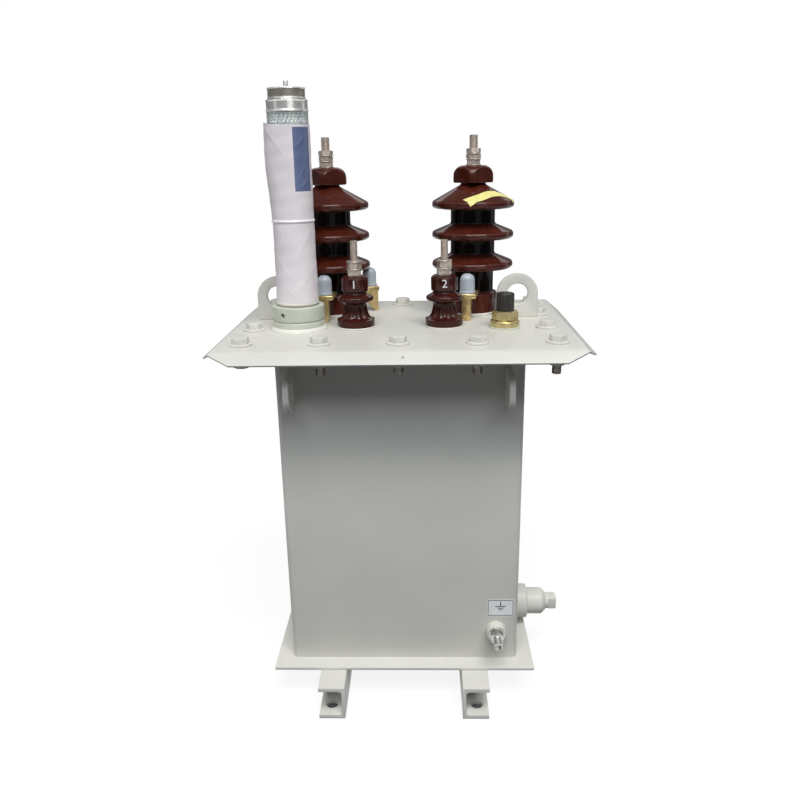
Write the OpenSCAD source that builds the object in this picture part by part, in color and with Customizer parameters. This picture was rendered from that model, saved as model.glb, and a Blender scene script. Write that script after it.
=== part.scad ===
// Single-phase oil-filled transformer: welded tank on channel skids, bolted lid,
// porcelain bushings, breather, filler plug, earth terminal and drain.
// Millimetres, +Z up, front is -Y, origin on the floor under the middle of the tank.

/* [Skids] */
// Height of the steel channel
channel_h = 50; // [40:1:80]
// Width of the channel's flanges
channel_b = 37; // [25:1:60]
// Thickness of the channel's web
channel_web = 4.5; // [3:0.5:8]
// Thickness of the channel's flanges
channel_flange = 6; // [4:0.5:10]
// Radius of the rolled root between web and flange
channel_root = 5; // [2:0.5:9]
// Length of each skid, front to back
skid_len = 325; // [260:5:420]
// Clear distance between the two webs
skid_gap = 166; // [120:2:220]
// Diameter of the foot holes in the lower flanges
foot_hole_d = 17; // [9:0.5:20]
// Distance from a foot hole to the end of the skid
foot_hole_inset = 23; // [15:1:60]

/* [Base plate] */
// Width of the base plate
base_w = 374; // [340:2:460]
// Depth of the base plate
base_d = 244; // [210:2:300]
// Thickness of the base plate
base_t = 5; // [3:0.5:12]

/* [Tank] */
// Outer width of the tank
tank_w = 328; // [290:2:340]
// Outer depth of the tank
tank_d = 196; // [150:2:206]
// Height of the tank wall
tank_h = 473; // [400:1:600]
// Thickness of the tank wall
tank_wall = 4; // [2:0.5:8]
// Outer radius of the tank's upright corners
tank_r = 8; // [5:1:14]
// Thickness of the bolting rim around the top of the tank
rim_t = 8; // [5:0.5:14]
// Thickness of the lid gasket
gasket_t = 5; // [2:0.5:10]
// How far the gasket's edge stays inside the rim's edge
gasket_inset = 3; // [0:0.5:8]

/* [Lid] */
// Thickness of the lid sheet
lid_t = 3; // [2:0.5:6]
// Width of the lid's flat top, fold to fold
lid_w = 452; // [430:2:520]
// Depth of the lid's flat top, fold to fold
lid_d = 332; // [310:2:400]
// How far the sloping skirt reaches out
skirt_out = 17.5; // [8:0.5:30]
// How far the sloping skirt drops
skirt_drop = 13; // [6:0.5:30]
// Corner cut at the end of each skirt
skirt_mitre = 24; // [5:1:40]
// Diameter of the small hole in the front skirt
skirt_hole_d = 3.5; // [2:0.5:6]
// Place of the small hole to the right of the middle
skirt_hole_x = 6.5; // [-40:0.5:40]
// Pitch of the lid bolts along the width
bolt_px = 98.5; // [90:0.5:104]
// Pitch of the lid bolts along the depth
bolt_py = 87.5; // [78:0.5:94]
// Diameter of the lid bolt holes
bolt_hole_d = 13.5; // [9:0.5:18]
// Distance from the bolt line to the edge of the rim
bolt_edge = 19; // [14:1:26]

/* [Lifting lugs] */
// Outer radius of a lid lug's round head
lug_r = 29; // [22:1:40]
// Diameter of the hole in a lid lug
lug_hole_d = 29; // [16:1:34]
// Height of the lid lug's hole above the lid
lug_rise = 33; // [30:1:60]
// Thickness of the lid lugs
lug_t = 8; // [5:0.5:14]
// Distance of the left lid lug from the middle
lug_left_x = 176; // [172:1:184]
// Distance of the right lid lug from the middle
lug_right_x = 165; // [160:1:184]
// Place of the lid lugs behind the middle
lug_y = 28; // [10:1:32]
// Radius of a tank lug's round end
tank_lug_r = 25; // [20:1:30]
// Thickness of a tank lug
tank_lug_t = 8; // [5:0.5:14]
// Diameter of the eye in a tank lug
tank_lug_hole_d = 20; // [8:1:30]
// Distance of a tank lug's eye and round end from the wall
tank_lug_out = 31; // [24:0.5:40]
// Distance of the tank lugs from the middle
tank_lug_x = 141; // [120:1:148]
// Drop of a tank lug's middle below the top of the tank
tank_lug_drop = 56; // [50:1:140]

/* [High-voltage bushings] */
// Distance of each high-voltage bushing from the middle
hv_x = 103.5; // [90:0.5:106]
// Place of the high-voltage bushings behind the middle
hv_y = 69; // [62:1:74]
// Radius of the white seat gasket
hv_seat_r = 37.5; // [36.5:0.5:40]
// Thickness of the white seat gasket
hv_seat_t = 3.5; // [2:0.5:6]
// Radius of the porcelain foot
hv_foot_r = 36; // [33:0.5:37]
// Height of the porcelain foot's ledge above the lid
hv_foot_h = 31; // [24:1:36]
// Radius of the porcelain below the lowest shed
hv_leg_r = 28.5; // [24:0.5:30]
// Radius of the porcelain between the sheds
hv_core_r = 31.5; // [26:0.5:36]
// Radius of the sheds
hv_shed_r = 58; // [45:0.5:64]
// Radius of the rounded rim of a shed
hv_rim_r = 4.8; // [3:0.1:6]
// Height of the lowest shed's rim above the lid
hv_shed_z = 70.5; // [66:0.5:76]
// Pitch of the sheds
hv_pitch = 42; // [38:0.5:44]
// Rise from a shed's rim to its root on the core
hv_slope = 15.5; // [8:0.5:20]
// Radius of the neck under the cap
hv_neck_r = 17; // [13:0.5:20]
// Height of the neck above the lid
hv_neck_z = 184; // [180:1:200]
// Radius of the cap at its corners
hv_cap_r = 28; // [24:0.5:34]
// Half width of the cap across its flats
hv_cap_flat = 21; // [18:0.5:23]
// Turn of the cap about the bushing
hv_cap_turn = 38; // [0:1:90]
// Height of the cap
hv_cap_h = 23.5; // [16:0.5:30]
// Height of the cap's straight side
hv_cap_side = 9; // [6:0.5:14]
// Radius of the flat on top of the cap
hv_crown_r = 14; // [12:0.5:18]
// Radius of the high-voltage stud
hv_stud_r = 6; // [4:0.5:8]
// Height of the high-voltage stud's top above the lid
hv_stud_z = 248; // [244:1:270]
// Width across flats of the high-voltage nuts
hv_nut_af = 18; // [14:1:24]
// Height of each high-voltage nut
hv_nut_h = 6.4; // [4:0.2:10]
// Thickness of each high-voltage washer
hv_washer_t = 1.2; // [0.8:0.1:3]
// Radius of each high-voltage washer
hv_washer_r = 11; // [9:0.5:14]

/* [Bushing claws] */
// Turn of the left bushing's front claw
claw_front_turn_left = -93; // [-100:1:-88]
// Turn of the right bushing's front claw
claw_front_turn_right = -100; // [-104:1:-84]
// Turn of the left bushing's inner claw behind the line between the bushings
claw_inner_turn_left = 18; // [0:1:24]
// Turn of the right bushing's inner claw behind the line between the bushings
claw_inner_turn_right = 45; // [36:1:54]
// Turn of the rear claw behind the line between the bushings
claw_rear_turn = 110; // [108:1:118]
// Reach of a claw from the bushing's axis
claw_out = 70; // [66:1:74]
// Width of a claw's head
claw_w = 26; // [20:1:30]
// Width of a claw's leg
claw_leg_w = 12; // [8:1:16]
// Thickness of a claw's head
claw_t = 6.5; // [4:0.5:9]
// Depth of the leg where it stands on the lid
claw_foot = 5; // [3:0.5:9]
// Gap between a claw's nose and the porcelain
claw_gap = 1; // [0.5:0.5:3]
// Place of a claw's cap from the bushing's axis
claw_cap_x = 58; // [52:0.5:60]
// Radius of a claw's plastic cap
claw_cap_r = 11; // [8:0.5:12]
// Height of a claw's plastic cap
claw_cap_h = 27; // [18:1:36]

/* [Low-voltage bushings] */
// Distance of each low-voltage bushing from the middle
lv_x = 60; // [56:0.5:66]
// Place of the low-voltage bushings behind the middle
lv_y = -31; // [-36:1:-26]
// Radius of the white seat gasket
lv_seat_r = 26; // [25:0.5:28]
// Thickness of the white seat gasket
lv_seat_t = 2.5; // [1.5:0.5:5]
// Radius of the porcelain foot
lv_foot_r = 25.5; // [20:0.5:26]
// Height of the porcelain foot's straight side
lv_foot_h = 9; // [7:0.5:16]
// Radius of the waist under the shed
lv_waist_r = 15; // [11:0.5:17]
// Height of the waist above the seat
lv_waist_z = 28; // [25:0.5:31]
// Radius of the shed
lv_shed_r = 24.5; // [20:0.5:26]
// Height of the shed's rim above the seat
lv_shed_z = 37; // [35:0.5:40]
// Radius of the shed's rounded rim
lv_rim_r = 2.6; // [1.5:0.1:3.5]
// Radius of the groove above the shed
lv_groove_r = 15.5; // [12:0.5:17]
// Height of the groove above the seat
lv_groove_z = 45; // [43:0.5:47]
// Radius of the top drum
lv_drum_r = 18; // [16:0.5:21]
// Height of the drum's lower edge above the seat
lv_drum_z = 47.5; // [47:0.5:50]
// Height of the porcelain above the seat
lv_top_z = 67; // [62:0.5:74]
// Chamfer on the top of the drum
lv_chamfer = 3.5; // [1:0.5:5]
// Radius of the low-voltage stud
lv_stud_r = 5; // [4:0.5:7]
// Height of the low-voltage stud's top above the lid
lv_stud_z = 116; // [110:1:130]
// Width across flats of the low-voltage nuts
lv_nut_af = 17; // [13:1:22]
// Height of the lower low-voltage nut
lv_nut_h = 8.5; // [6:0.5:10]
// Radius of each low-voltage washer
lv_washer_r = 10.5; // [9:0.5:13]
// Thickness of each low-voltage washer
lv_washer_t = 1.6; // [1:0.1:3]

/* [Breather] */
// Distance of the breather from the middle
breather_x = 137; // [130:1:140]
// Place of the breather in front of the middle
breather_y = 37; // [34:1:44]
// Radius of the breather's two base rings
breather_ring_r = 35; // [31:0.5:37]
// Height of the lower base ring
breather_base_h = 13; // [8:0.5:18]
// Height of the upper base ring
breather_ring_h = 19; // [12:0.5:26]
// Shadow gap between the two rings
breather_groove = 1.5; // [1:0.5:3]
// Outer radius of the clear tube
breather_tube_r = 26; // [22:0.5:29]
// Wall of the clear tube
breather_wall = 3; // [2:0.5:5]
// Height of the clear tube
breather_tube_h = 249; // [200:1:280]
// Depth the tube sits in the upper ring
breather_seat = 6; // [3:1:10]
// Radius of the metal collar on the tube
breather_collar_r = 26.5; // [26.5:0.5:30]
// Height of the metal collar
breather_collar_h = 14; // [8:0.5:24]
// Radius of the neck between the collar and the knurled cap
breather_neck_r = 17; // [10:0.5:20]
// Height of the neck under the knurled cap
breather_neck_h = 1; // [0.5:0.5:4]
// Radius of the knurled cap
breather_knob_r = 24; // [18:0.5:25]
// Height of the knurled cap
breather_knob_h = 13; // [8:0.5:18]
// Radius of the pin on top
breather_pin_r = 3; // [2:0.5:5]
// Height of the pin on top
breather_pin_h = 8.5; // [4:0.5:16]
// Diameter of the set-screw hole in the upper ring
breather_screw_d = 7; // [4:0.5:9]
// Turn of the set-screw hole about the breather
breather_screw_turn = -118; // [-150:1:-90]

/* [Filler plug] */
// Distance of the filler plug from the middle
filler_x = 141; // [136:1:146]
// Place of the filler plug in front of the middle
filler_y = 41; // [32:1:46]
// Radius of the grey washer under the plug
filler_washer_r = 21.5; // [20.5:0.5:24]
// Thickness of the grey washer
filler_washer_t = 2; // [1:0.5:4]
// Radius of the brass base
filler_base_r = 19.5; // [17:0.5:20]
// Height of the brass base
filler_base_h = 8.5; // [5:0.5:12]
// Width across flats of the brass hexagon
filler_hex_af = 31; // [24:1:32]
// Height of the brass hexagon
filler_hex_h = 12; // [8:0.5:16]
// Radius of the black cap
filler_cap_r = 12; // [9:0.5:14]
// Height of the black cap
filler_cap_h = 24; // [16:1:32]
// Count of the grips around the black cap
filler_grips = 16; // [10:1:24]
// Depth of the grips in the black cap
filler_grip = 0.8; // [0.4:0.1:1.5]

/* [Earth terminal] */
// Distance of the earth terminal from the middle
earth_x = 133; // [110:1:140]
// Height of the earth terminal above the base plate
earth_z = 47; // [30:1:80]
// Radius of the welded boss
earth_boss_r = 14; // [11:0.5:18]
// Length of the welded boss
earth_boss_l = 12; // [8:0.5:18]
// Radius of the earth stud
earth_stud_r = 6; // [4:0.5:8]
// Length of the earth stud beyond the boss
earth_stud_l = 30; // [22:1:40]
// Width across flats of the earth nut
earth_nut_af = 18; // [14:1:22]
// Height of the earth nut
earth_nut_h = 9; // [6:0.5:12]
// Radius of the earth washer
earth_washer_r = 12; // [10:0.5:14]
// Thickness of the earth washer
earth_washer_t = 2.5; // [1.5:0.5:4]

/* [Drain] */
// Height of the drain above the base plate
drain_z = 34; // [28:1:60]
// Radius of the welded collar
drain_collar_r = 26; // [22:0.5:27]
// Length of the welded collar
drain_collar_l = 25; // [14:1:30]
// Radius of the drain body
drain_body_r = 20; // [16:0.5:24]
// Length of the drain body
drain_body_l = 30; // [18:1:32]
// Length of the drain body's tapered shoulder
drain_taper = 7; // [3:0.5:12]
// Radius of the shoulder under the square
drain_neck_r = 12; // [9:0.5:16]
// Length of the shoulder under the square
drain_neck_l = 3; // [2:0.5:6]
// Width of the drain plug's square
drain_square = 19; // [12:0.5:22]
// Length of the drain plug's square
drain_square_l = 13; // [8:0.5:16]

/* [Hidden] */
$fn = 96;
eps = 0.01;
// through cuts run this far past a face
over = 1;
base_z = channel_h;
tank_z = base_z + base_t;
rim_z = tank_z + tank_h;
lid_z = rim_z + gasket_t;
top_z = lid_z + lid_t;
tank_in_r = max(tank_r - tank_wall, over);
bolt_x = 2 * bolt_px;
bolt_y = 1.5 * bolt_py;
rim_w = 2 * (bolt_x + bolt_edge);
rim_d = 2 * (bolt_y + bolt_edge);
// lid bolts stand around the edge of a grid of five by four
bolt_spots = [for (i = [-2:2], j = [-1.5:1.5])
    if (abs(i) == 2 || abs(j) == 1.5) [i * bolt_px, j * bolt_py]];
hv_cap_z = hv_neck_z;
hv_nut_z = hv_cap_z + hv_cap_h;
hv_nut_step = hv_washer_t + hv_nut_h;
claw_z = hv_foot_h;
claw_top = claw_z + claw_t;
lv_nut_z = lv_seat_t + lv_top_z;
breather_ring_z = breather_base_h + breather_groove;
breather_tube_z = breather_ring_z + breather_ring_h - breather_seat;
breather_collar_z = breather_tube_z + breather_tube_h;
// half a width across flats to the corner of a hexagon
hex_corner = 1 / cos(30) / 2;
enamel = "#d9d7d0";
glaze = "#43170f";
tin = "#a9a59b";
brass = "#c3a35c";
white = "#ecebe6";

// rectangle with round corners, centred
module round_rect(w, d, r) {
    square([w - 2 * r, d], center = true);
    square([w, d - 2 * r], center = true);
    for (sx = [-1, 1], sy = [-1, 1])
        translate([sx * (w / 2 - r), sy * (d / 2 - r)])
            circle(r);
}

// hexagon prism by its width across flats
module hex_prism(af, h) {
    cylinder(r = af * hex_corner, h = h, $fn = 6);
}

// half-round plate in the XZ plane, standing on z = 0, hole at height rise
module lug_plate(r, rise, hole_d, t) {
    translate([0, t / 2, 0])
        rotate([90, 0, 0])
            linear_extrude(t)
                difference() {
                    union() {
                        translate([0, rise])
                            circle(r);
                        translate([-r, 0])
                            square([2 * r, rise]);
                    }
                    translate([0, rise])
                        circle(d = hole_d);
                }
}

// section of the rolled channel: web on x = 0, flanges along +x, standing on y = 0
module channel_profile() {
    clear = channel_h - 2 * channel_flange;
    difference() {
        square([channel_b, channel_h]);
        translate([channel_web + channel_root, channel_flange])
            square([channel_b, clear]);
        translate([channel_web, channel_flange + channel_root])
            square([channel_b, clear - 2 * channel_root]);
        for (y = [channel_root, clear - channel_root])
            translate([channel_web + channel_root, channel_flange + y])
                circle(channel_root);
    }
}

// channel with its web on the inner side, flanges outward, for the side sx
module skid(sx) {
    color(enamel)
        difference() {
            translate([sx * skid_gap / 2, sx * skid_len / 2, 0])
                rotate([90, 0, sx > 0 ? 0 : 180])
                    linear_extrude(skid_len)
                        channel_profile();
            for (sy = [-1, 1])
                translate([sx * (skid_gap / 2 + channel_b / 2 + channel_web / 2),
                        sy * (skid_len / 2 - foot_hole_inset), -over])
                    cylinder(d = foot_hole_d, h = channel_flange + 2 * over);
        }
}

module skid_left() {
    skid(-1);
}

module skid_right() {
    skid(1);
}

module base_plate() {
    color(enamel)
        translate([-base_w / 2, -base_d / 2, base_z])
            cube([base_w, base_d, base_t]);
}

module tank_shell() {
    color(enamel)
        translate([0, 0, tank_z])
            linear_extrude(tank_h)
                difference() {
                    round_rect(tank_w, tank_d, tank_r);
                    round_rect(tank_w - 2 * tank_wall, tank_d - 2 * tank_wall, tank_in_r);
                }
}

module bolt_holes(z, h) {
    for (p = bolt_spots)
        translate([p[0], p[1], z - over])
            cylinder(d = bolt_hole_d, h = h + 2 * over);
}

module tank_rim() {
    color(enamel)
        difference() {
            translate([0, 0, rim_z - rim_t])
                linear_extrude(rim_t)
                    difference() {
                        square([rim_w, rim_d], center = true);
                        round_rect(tank_w, tank_d, tank_r);
                    }
            bolt_holes(rim_z - rim_t, rim_t);
        }
}

module lid_gasket() {
    color("#3a3936")
        difference() {
            translate([0, 0, rim_z])
                linear_extrude(gasket_t)
                    difference() {
                        square([rim_w - 2 * gasket_inset, rim_d - 2 * gasket_inset], center = true);
                        round_rect(tank_w - 2 * tank_wall, tank_d - 2 * tank_wall, tank_in_r);
                    }
            bolt_holes(rim_z, gasket_t);
        }
}

// sloping skirt along the front edge of a lid len wide and 2 * half deep
module skirt(len, half) {
    slope = norm([skirt_out, skirt_drop]);
    nx = skirt_drop / slope * lid_t;
    nz = skirt_out / slope * lid_t;
    intersection() {
        rotate([90, 0, 90])
            translate([0, 0, -len / 2])
                linear_extrude(len)
                    polygon([[-half, top_z], [-half - skirt_out, top_z - skirt_drop],
                        [-half - skirt_out + nx, top_z - skirt_drop - nz],
                        [-half + nx, lid_z - nz + lid_t], [-half + nx + lid_t, lid_z], [-half + nx + lid_t, top_z]]);
        translate([0, 0, lid_z - skirt_drop - lid_t])
            linear_extrude(skirt_drop + 3 * lid_t)
                polygon([[-len / 2, -half + skirt_out], [-len / 2, -half],
                    [-len / 2 + skirt_mitre, -half - skirt_out - eps],
                    [len / 2 - skirt_mitre, -half - skirt_out - eps], [len / 2, -half], [len / 2, -half + skirt_out]]);
    }
}

module lid() {
    slope_turn = atan2(skirt_drop, skirt_out);
    color(enamel)
        difference() {
            union() {
                translate([-lid_w / 2, -lid_d / 2, lid_z])
                    cube([lid_w, lid_d, lid_t]);
                for (turn = [0, 180])
                    rotate(turn)
                        skirt(lid_w, lid_d / 2);
                for (turn = [90, 270])
                    rotate(turn)
                        skirt(lid_d, lid_w / 2);
            }
            bolt_holes(lid_z, lid_t);
            translate([skirt_hole_x, -lid_d / 2 - skirt_out / 2, top_z - skirt_drop / 2])
                rotate([slope_turn, 0, 0])
                    translate([0, 0, -2 * lid_t])
                        cylinder(d = skirt_hole_d, h = 4 * lid_t);
        }
}

module lid_lug_left() {
    color(enamel)
        translate([-lug_left_x, lug_y, top_z])
            lug_plate(lug_r, lug_rise, lug_hole_d, lug_t);
}

module lid_lug_right() {
    color(enamel)
        translate([lug_right_x, lug_y, top_z])
            lug_plate(lug_r, lug_rise, lug_hole_d, lug_t);
}

// pair of lugs with a round end standing out of the front wall
module tank_lug_pair() {
    color(enamel)
        for (sx = [-1, 1])
            translate([sx * tank_lug_x - tank_lug_t / 2, -tank_d / 2, rim_z - tank_lug_drop])
                rotate([90, 0, 90])
                    linear_extrude(tank_lug_t)
                        difference() {
                            union() {
                                translate([-tank_lug_out, 0])
                                    circle(tank_lug_r);
                                translate([-tank_lug_out, -tank_lug_r])
                                    square([tank_lug_out, 2 * tank_lug_r]);
                            }
                            translate([-tank_lug_out, 0])
                                circle(d = tank_lug_hole_d);
                        }
}

module tank_lugs_front() {
    tank_lug_pair();
}

module tank_lugs_rear() {
    rotate(180)
        tank_lug_pair();
}

// places its children on the lid at a high-voltage bushing
module at_hv(sx) {
    translate([sx * hv_x, hv_y, top_z])
        children();
}

module hv_seat(sx) {
    color(white)
        at_hv(sx)
            cylinder(r = hv_seat_r, h = hv_seat_t);
}

module hv_seat_left() {
    hv_seat(-1);
}

module hv_seat_right() {
    hv_seat(1);
}

// points of a rim's half circle, from its top round to its underside
function rim_arc(x, z, r) = [for (a = [90:-15:-90]) [x + r * cos(a), z + r * sin(a)]];

// outline of one shed, from its underside's root up to its upper root
function shed_line(rim_z) = concat(
    [[hv_core_r, rim_z + hv_slope]],
    rim_arc(hv_shed_r - hv_rim_r, rim_z, hv_rim_r),
    [[hv_core_r, rim_z - hv_rim_r + over]]);

module hv_bushing(sx) {
    mid_rim = hv_shed_z + hv_pitch;
    top_rim = mid_rim + hv_pitch;
    color(glaze)
        at_hv(sx)
            rotate_extrude()
                polygon(concat(
                    [[0, hv_seat_t], [0, hv_neck_z], [hv_neck_r, hv_neck_z], [hv_neck_r, hv_neck_z - over]],
                    rim_arc(hv_shed_r - hv_rim_r, top_rim, hv_rim_r),
                    [[hv_core_r, top_rim - hv_rim_r + over]],
                    shed_line(mid_rim),
                    shed_line(hv_shed_z),
                    [[hv_leg_r, hv_shed_z - hv_rim_r], [hv_leg_r, hv_foot_h], [hv_foot_r - over, hv_foot_h],
                    [hv_foot_r, hv_foot_h - over], [hv_foot_r, hv_seat_t]]));
}

module hv_bushing_left() {
    hv_bushing(-1);
}

module hv_bushing_right() {
    hv_bushing(1);
}

// domed cap trimmed to four flats
module hv_cap(sx) {
    dome = [for (a = [0:15:90]) [hv_crown_r + (hv_cap_r - hv_crown_r) * cos(a),
        hv_cap_side + (hv_cap_h - hv_cap_side) * sin(a)]];
    color(glaze)
        at_hv(sx)
            translate([0, 0, hv_cap_z])
                rotate(hv_cap_turn)
                    intersection() {
                        rotate_extrude()
                            polygon(concat([[0, 0], [hv_cap_r - over, 0], [hv_cap_r, over]], dome, [[0, hv_cap_h]]));
                        translate([-hv_cap_flat, -hv_cap_flat, 0])
                            cube([2 * hv_cap_flat, 2 * hv_cap_flat, hv_cap_h]);
                    }
}

module hv_cap_left() {
    hv_cap(-1);
}

module hv_cap_right() {
    hv_cap(1);
}

// threaded stud with three nuts, each on its washer
module hv_terminal(sx) {
    color(tin)
        at_hv(sx)
            union() {
                translate([0, 0, hv_nut_z])
                    cylinder(r = hv_stud_r, h = hv_stud_z - hv_nut_z);
                for (i = [0:2])
                    translate([0, 0, hv_nut_z + i * hv_nut_step]) {
                        cylinder(r = hv_washer_r, h = hv_washer_t);
                        translate([0, 0, hv_washer_t])
                            rotate(i * 20)
                                hex_prism(hv_nut_af, hv_nut_h);
                    }
            }
}

module hv_terminal_left() {
    hv_terminal(-1);
}

module hv_terminal_right() {
    hv_terminal(1);
}

// claw pointing along +X: head on the porcelain's ledge, tapering leg on the lid
module claw() {
    nose = hv_leg_r + claw_gap;
    translate([nose, -claw_w / 2, claw_z])
        cube([claw_out - nose, claw_w, claw_t]);
    translate([0, claw_leg_w / 2, 0])
        rotate([90, 0, 0])
            linear_extrude(claw_leg_w)
                polygon([[claw_out, claw_z], [claw_out, 0], [claw_out - claw_foot, 0],
                    [hv_foot_r + claw_gap + claw_foot, claw_z - claw_t], [hv_foot_r + claw_gap, claw_z]]);
}

// turns of the three claws of the bushing on the side sx: front, inner side and rear
function claw_turns(sx) = sx > 0
    ? [claw_front_turn_right, 180 - claw_inner_turn_right, 180 - claw_rear_turn]
    : [claw_front_turn_left, claw_inner_turn_left, claw_rear_turn];

module hv_claws(sx) {
    color(brass)
        at_hv(sx)
            for (turn = claw_turns(sx))
                rotate(turn)
                    claw();
}

module hv_claws_left() {
    hv_claws(-1);
}

module hv_claws_right() {
    hv_claws(1);
}

module claw_caps(sx) {
    color("#aebccb")
        at_hv(sx)
            for (turn = claw_turns(sx))
                rotate(turn)
                    translate([claw_cap_x, 0, claw_top]) {
                        cylinder(r = claw_cap_r, h = claw_cap_h - claw_cap_r);
                        translate([0, 0, claw_cap_h - claw_cap_r])
                            rotate_extrude()
                                intersection() {
                                    circle(claw_cap_r);
                                    square(claw_cap_r);
                                }
                    }
}

module claw_caps_left() {
    claw_caps(-1);
}

module claw_caps_right() {
    claw_caps(1);
}

// places its children on the lid at a low-voltage bushing
module at_lv(sx) {
    translate([sx * lv_x, lv_y, top_z])
        children();
}

module lv_seat(sx) {
    color(white)
        at_lv(sx)
            cylinder(r = lv_seat_r, h = lv_seat_t);
}

module lv_seat_left() {
    lv_seat(-1);
}

module lv_seat_right() {
    lv_seat(1);
}

module lv_bushing(sx) {
    flare = lv_foot_r - lv_waist_r;
    rise = lv_waist_z - lv_foot_h;
    // hollow curve from the foot up to the waist
    curve = [for (a = [90:-15:0]) [lv_foot_r - flare * sin(a), lv_foot_h + rise * (1 - cos(a))]];
    color(glaze)
        at_lv(sx)
            translate([0, 0, lv_seat_t])
                rotate_extrude()
                    polygon(concat(
                        [[0, lv_top_z], [lv_drum_r - lv_chamfer, lv_top_z], [lv_drum_r, lv_top_z - lv_chamfer],
                        [lv_drum_r, lv_drum_z], [lv_groove_r, lv_drum_z], [lv_groove_r, lv_groove_z]],
                        rim_arc(lv_shed_r - lv_rim_r, lv_shed_z, lv_rim_r),
                        curve,
                        [[lv_foot_r, 0], [0, 0]]));
}

module lv_bushing_left() {
    lv_bushing(-1);
}

module lv_bushing_right() {
    lv_bushing(1);
}

// threaded stud with two nuts between washers
module lv_terminal(sx) {
    step = lv_nut_h + lv_washer_t;
    color(tin)
        at_lv(sx)
            union() {
                translate([0, 0, lv_nut_z])
                    cylinder(r = lv_stud_r, h = lv_stud_z - lv_nut_z);
                for (i = [0, 1])
                    translate([0, 0, lv_nut_z + i * step]) {
                        rotate(i * 25)
                            hex_prism(lv_nut_af, lv_nut_h);
                        translate([0, 0, lv_nut_h])
                            cylinder(r = lv_washer_r, h = lv_washer_t);
                    }
            }
}

module lv_terminal_left() {
    lv_terminal(-1);
}

module lv_terminal_right() {
    lv_terminal(1);
}

// places its children on the lid at the breather
module at_breather() {
    translate([-breather_x, -breather_y, top_z])
        children();
}

module breather_base() {
    color("#c3cbbd")
        at_breather()
            union() {
                cylinder(r = breather_ring_r, h = breather_base_h);
                cylinder(r = breather_ring_r - breather_groove, h = breather_ring_z);
            }
}

module breather_ring() {
    color("#c3cbbd")
        at_breather()
            difference() {
                translate([0, 0, breather_ring_z])
                    cylinder(r = breather_ring_r, h = breather_ring_h);
                translate([0, 0, breather_tube_z])
                    cylinder(r = breather_tube_r, h = breather_seat + over);
                rotate(breather_screw_turn)
                    translate([breather_tube_r + breather_groove, 0, breather_ring_z + breather_ring_h / 2])
                        rotate([0, 90, 0])
                            cylinder(d = breather_screw_d, h = breather_ring_r);
            }
}

module breather_tube() {
    color("#eceaf0")
        at_breather()
            translate([0, 0, breather_tube_z])
                difference() {
                    cylinder(r = breather_tube_r, h = breather_tube_h);
                    translate([0, 0, -over])
                        cylinder(r = breather_tube_r - breather_wall, h = breather_tube_h + 2 * over);
                }
}

module breather_gel() {
    color("#c9c4b8")
        at_breather()
            translate([0, 0, breather_tube_z])
                cylinder(r = breather_tube_r - breather_wall, h = breather_tube_h);
}

module breather_collar() {
    color("#bfbfbd")
        at_breather()
            translate([0, 0, breather_collar_z])
                cylinder(r = breather_collar_r, h = breather_collar_h);
}

module breather_knob() {
    color("#55534f")
        at_breather()
            translate([0, 0, breather_collar_z + breather_collar_h])
                union() {
                    cylinder(r = breather_neck_r, h = breather_neck_h);
                    translate([0, 0, breather_neck_h])
                        cylinder(r = breather_knob_r, h = breather_knob_h);
                    translate([0, 0, breather_neck_h + breather_knob_h])
                        cylinder(r = breather_pin_r, h = breather_pin_h);
                }
}

// places its children on the lid at the filler plug
module at_filler() {
    translate([filler_x, -filler_y, top_z])
        children();
}

module filler_washer() {
    color("#c9c9c4")
        at_filler()
            cylinder(r = filler_washer_r, h = filler_washer_t);
}

module filler_base() {
    color(brass)
        at_filler()
            translate([0, 0, filler_washer_t])
                union() {
                    cylinder(r = filler_base_r, h = filler_base_h);
                    translate([0, 0, filler_base_h])
                        hex_prism(filler_hex_af, filler_hex_h);
                }
}

module filler_cap() {
    color("#1d1d1c")
        at_filler()
            translate([0, 0, filler_washer_t + filler_base_h + filler_hex_h])
                difference() {
                    cylinder(r = filler_cap_r, h = filler_cap_h);
                    for (i = [0:filler_grips - 1])
                        rotate(i * 360 / filler_grips)
                            translate([filler_cap_r, 0, filler_cap_h / 4])
                                cylinder(r = filler_grip, h = filler_cap_h);
                }
}

// places its children on the front wall at the earth terminal, +Z pointing out
module at_earth() {
    translate([earth_x, -tank_d / 2, tank_z + earth_z])
        rotate([90, 0, 0])
            children();
}

module earth_boss() {
    color(enamel)
        at_earth()
            cylinder(r = earth_boss_r, h = earth_boss_l);
}

module earth_terminal() {
    color(tin)
        at_earth()
            translate([0, 0, earth_boss_l])
                union() {
                    cylinder(r = earth_stud_r, h = earth_stud_l);
                    cylinder(r = earth_washer_r, h = earth_washer_t);
                    translate([0, 0, earth_washer_t])
                        hex_prism(earth_nut_af, earth_nut_h);
                }
}

// places its children on the right wall at the drain, +Z pointing out
module at_drain() {
    translate([tank_w / 2, 0, tank_z + drain_z])
        rotate([0, 90, 0])
            children();
}

module drain_collar() {
    color(enamel)
        at_drain()
            cylinder(r = drain_collar_r, h = drain_collar_l);
}

module drain_body() {
    color(enamel)
        at_drain()
            translate([0, 0, drain_collar_l])
                union() {
                    cylinder(r = drain_body_r, h = drain_body_l - drain_taper);
                    translate([0, 0, drain_body_l - drain_taper])
                        cylinder(r1 = drain_body_r, r2 = drain_neck_r + over, h = drain_taper);
                }
}

module drain_plug() {
    color(enamel)
        at_drain()
            translate([0, 0, drain_collar_l + drain_body_l])
                union() {
                    cylinder(r = drain_neck_r, h = drain_neck_l);
                    translate([-drain_square / 2, -drain_square / 2, drain_neck_l])
                        cube([drain_square, drain_square, drain_square_l]);
                }
}

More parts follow.
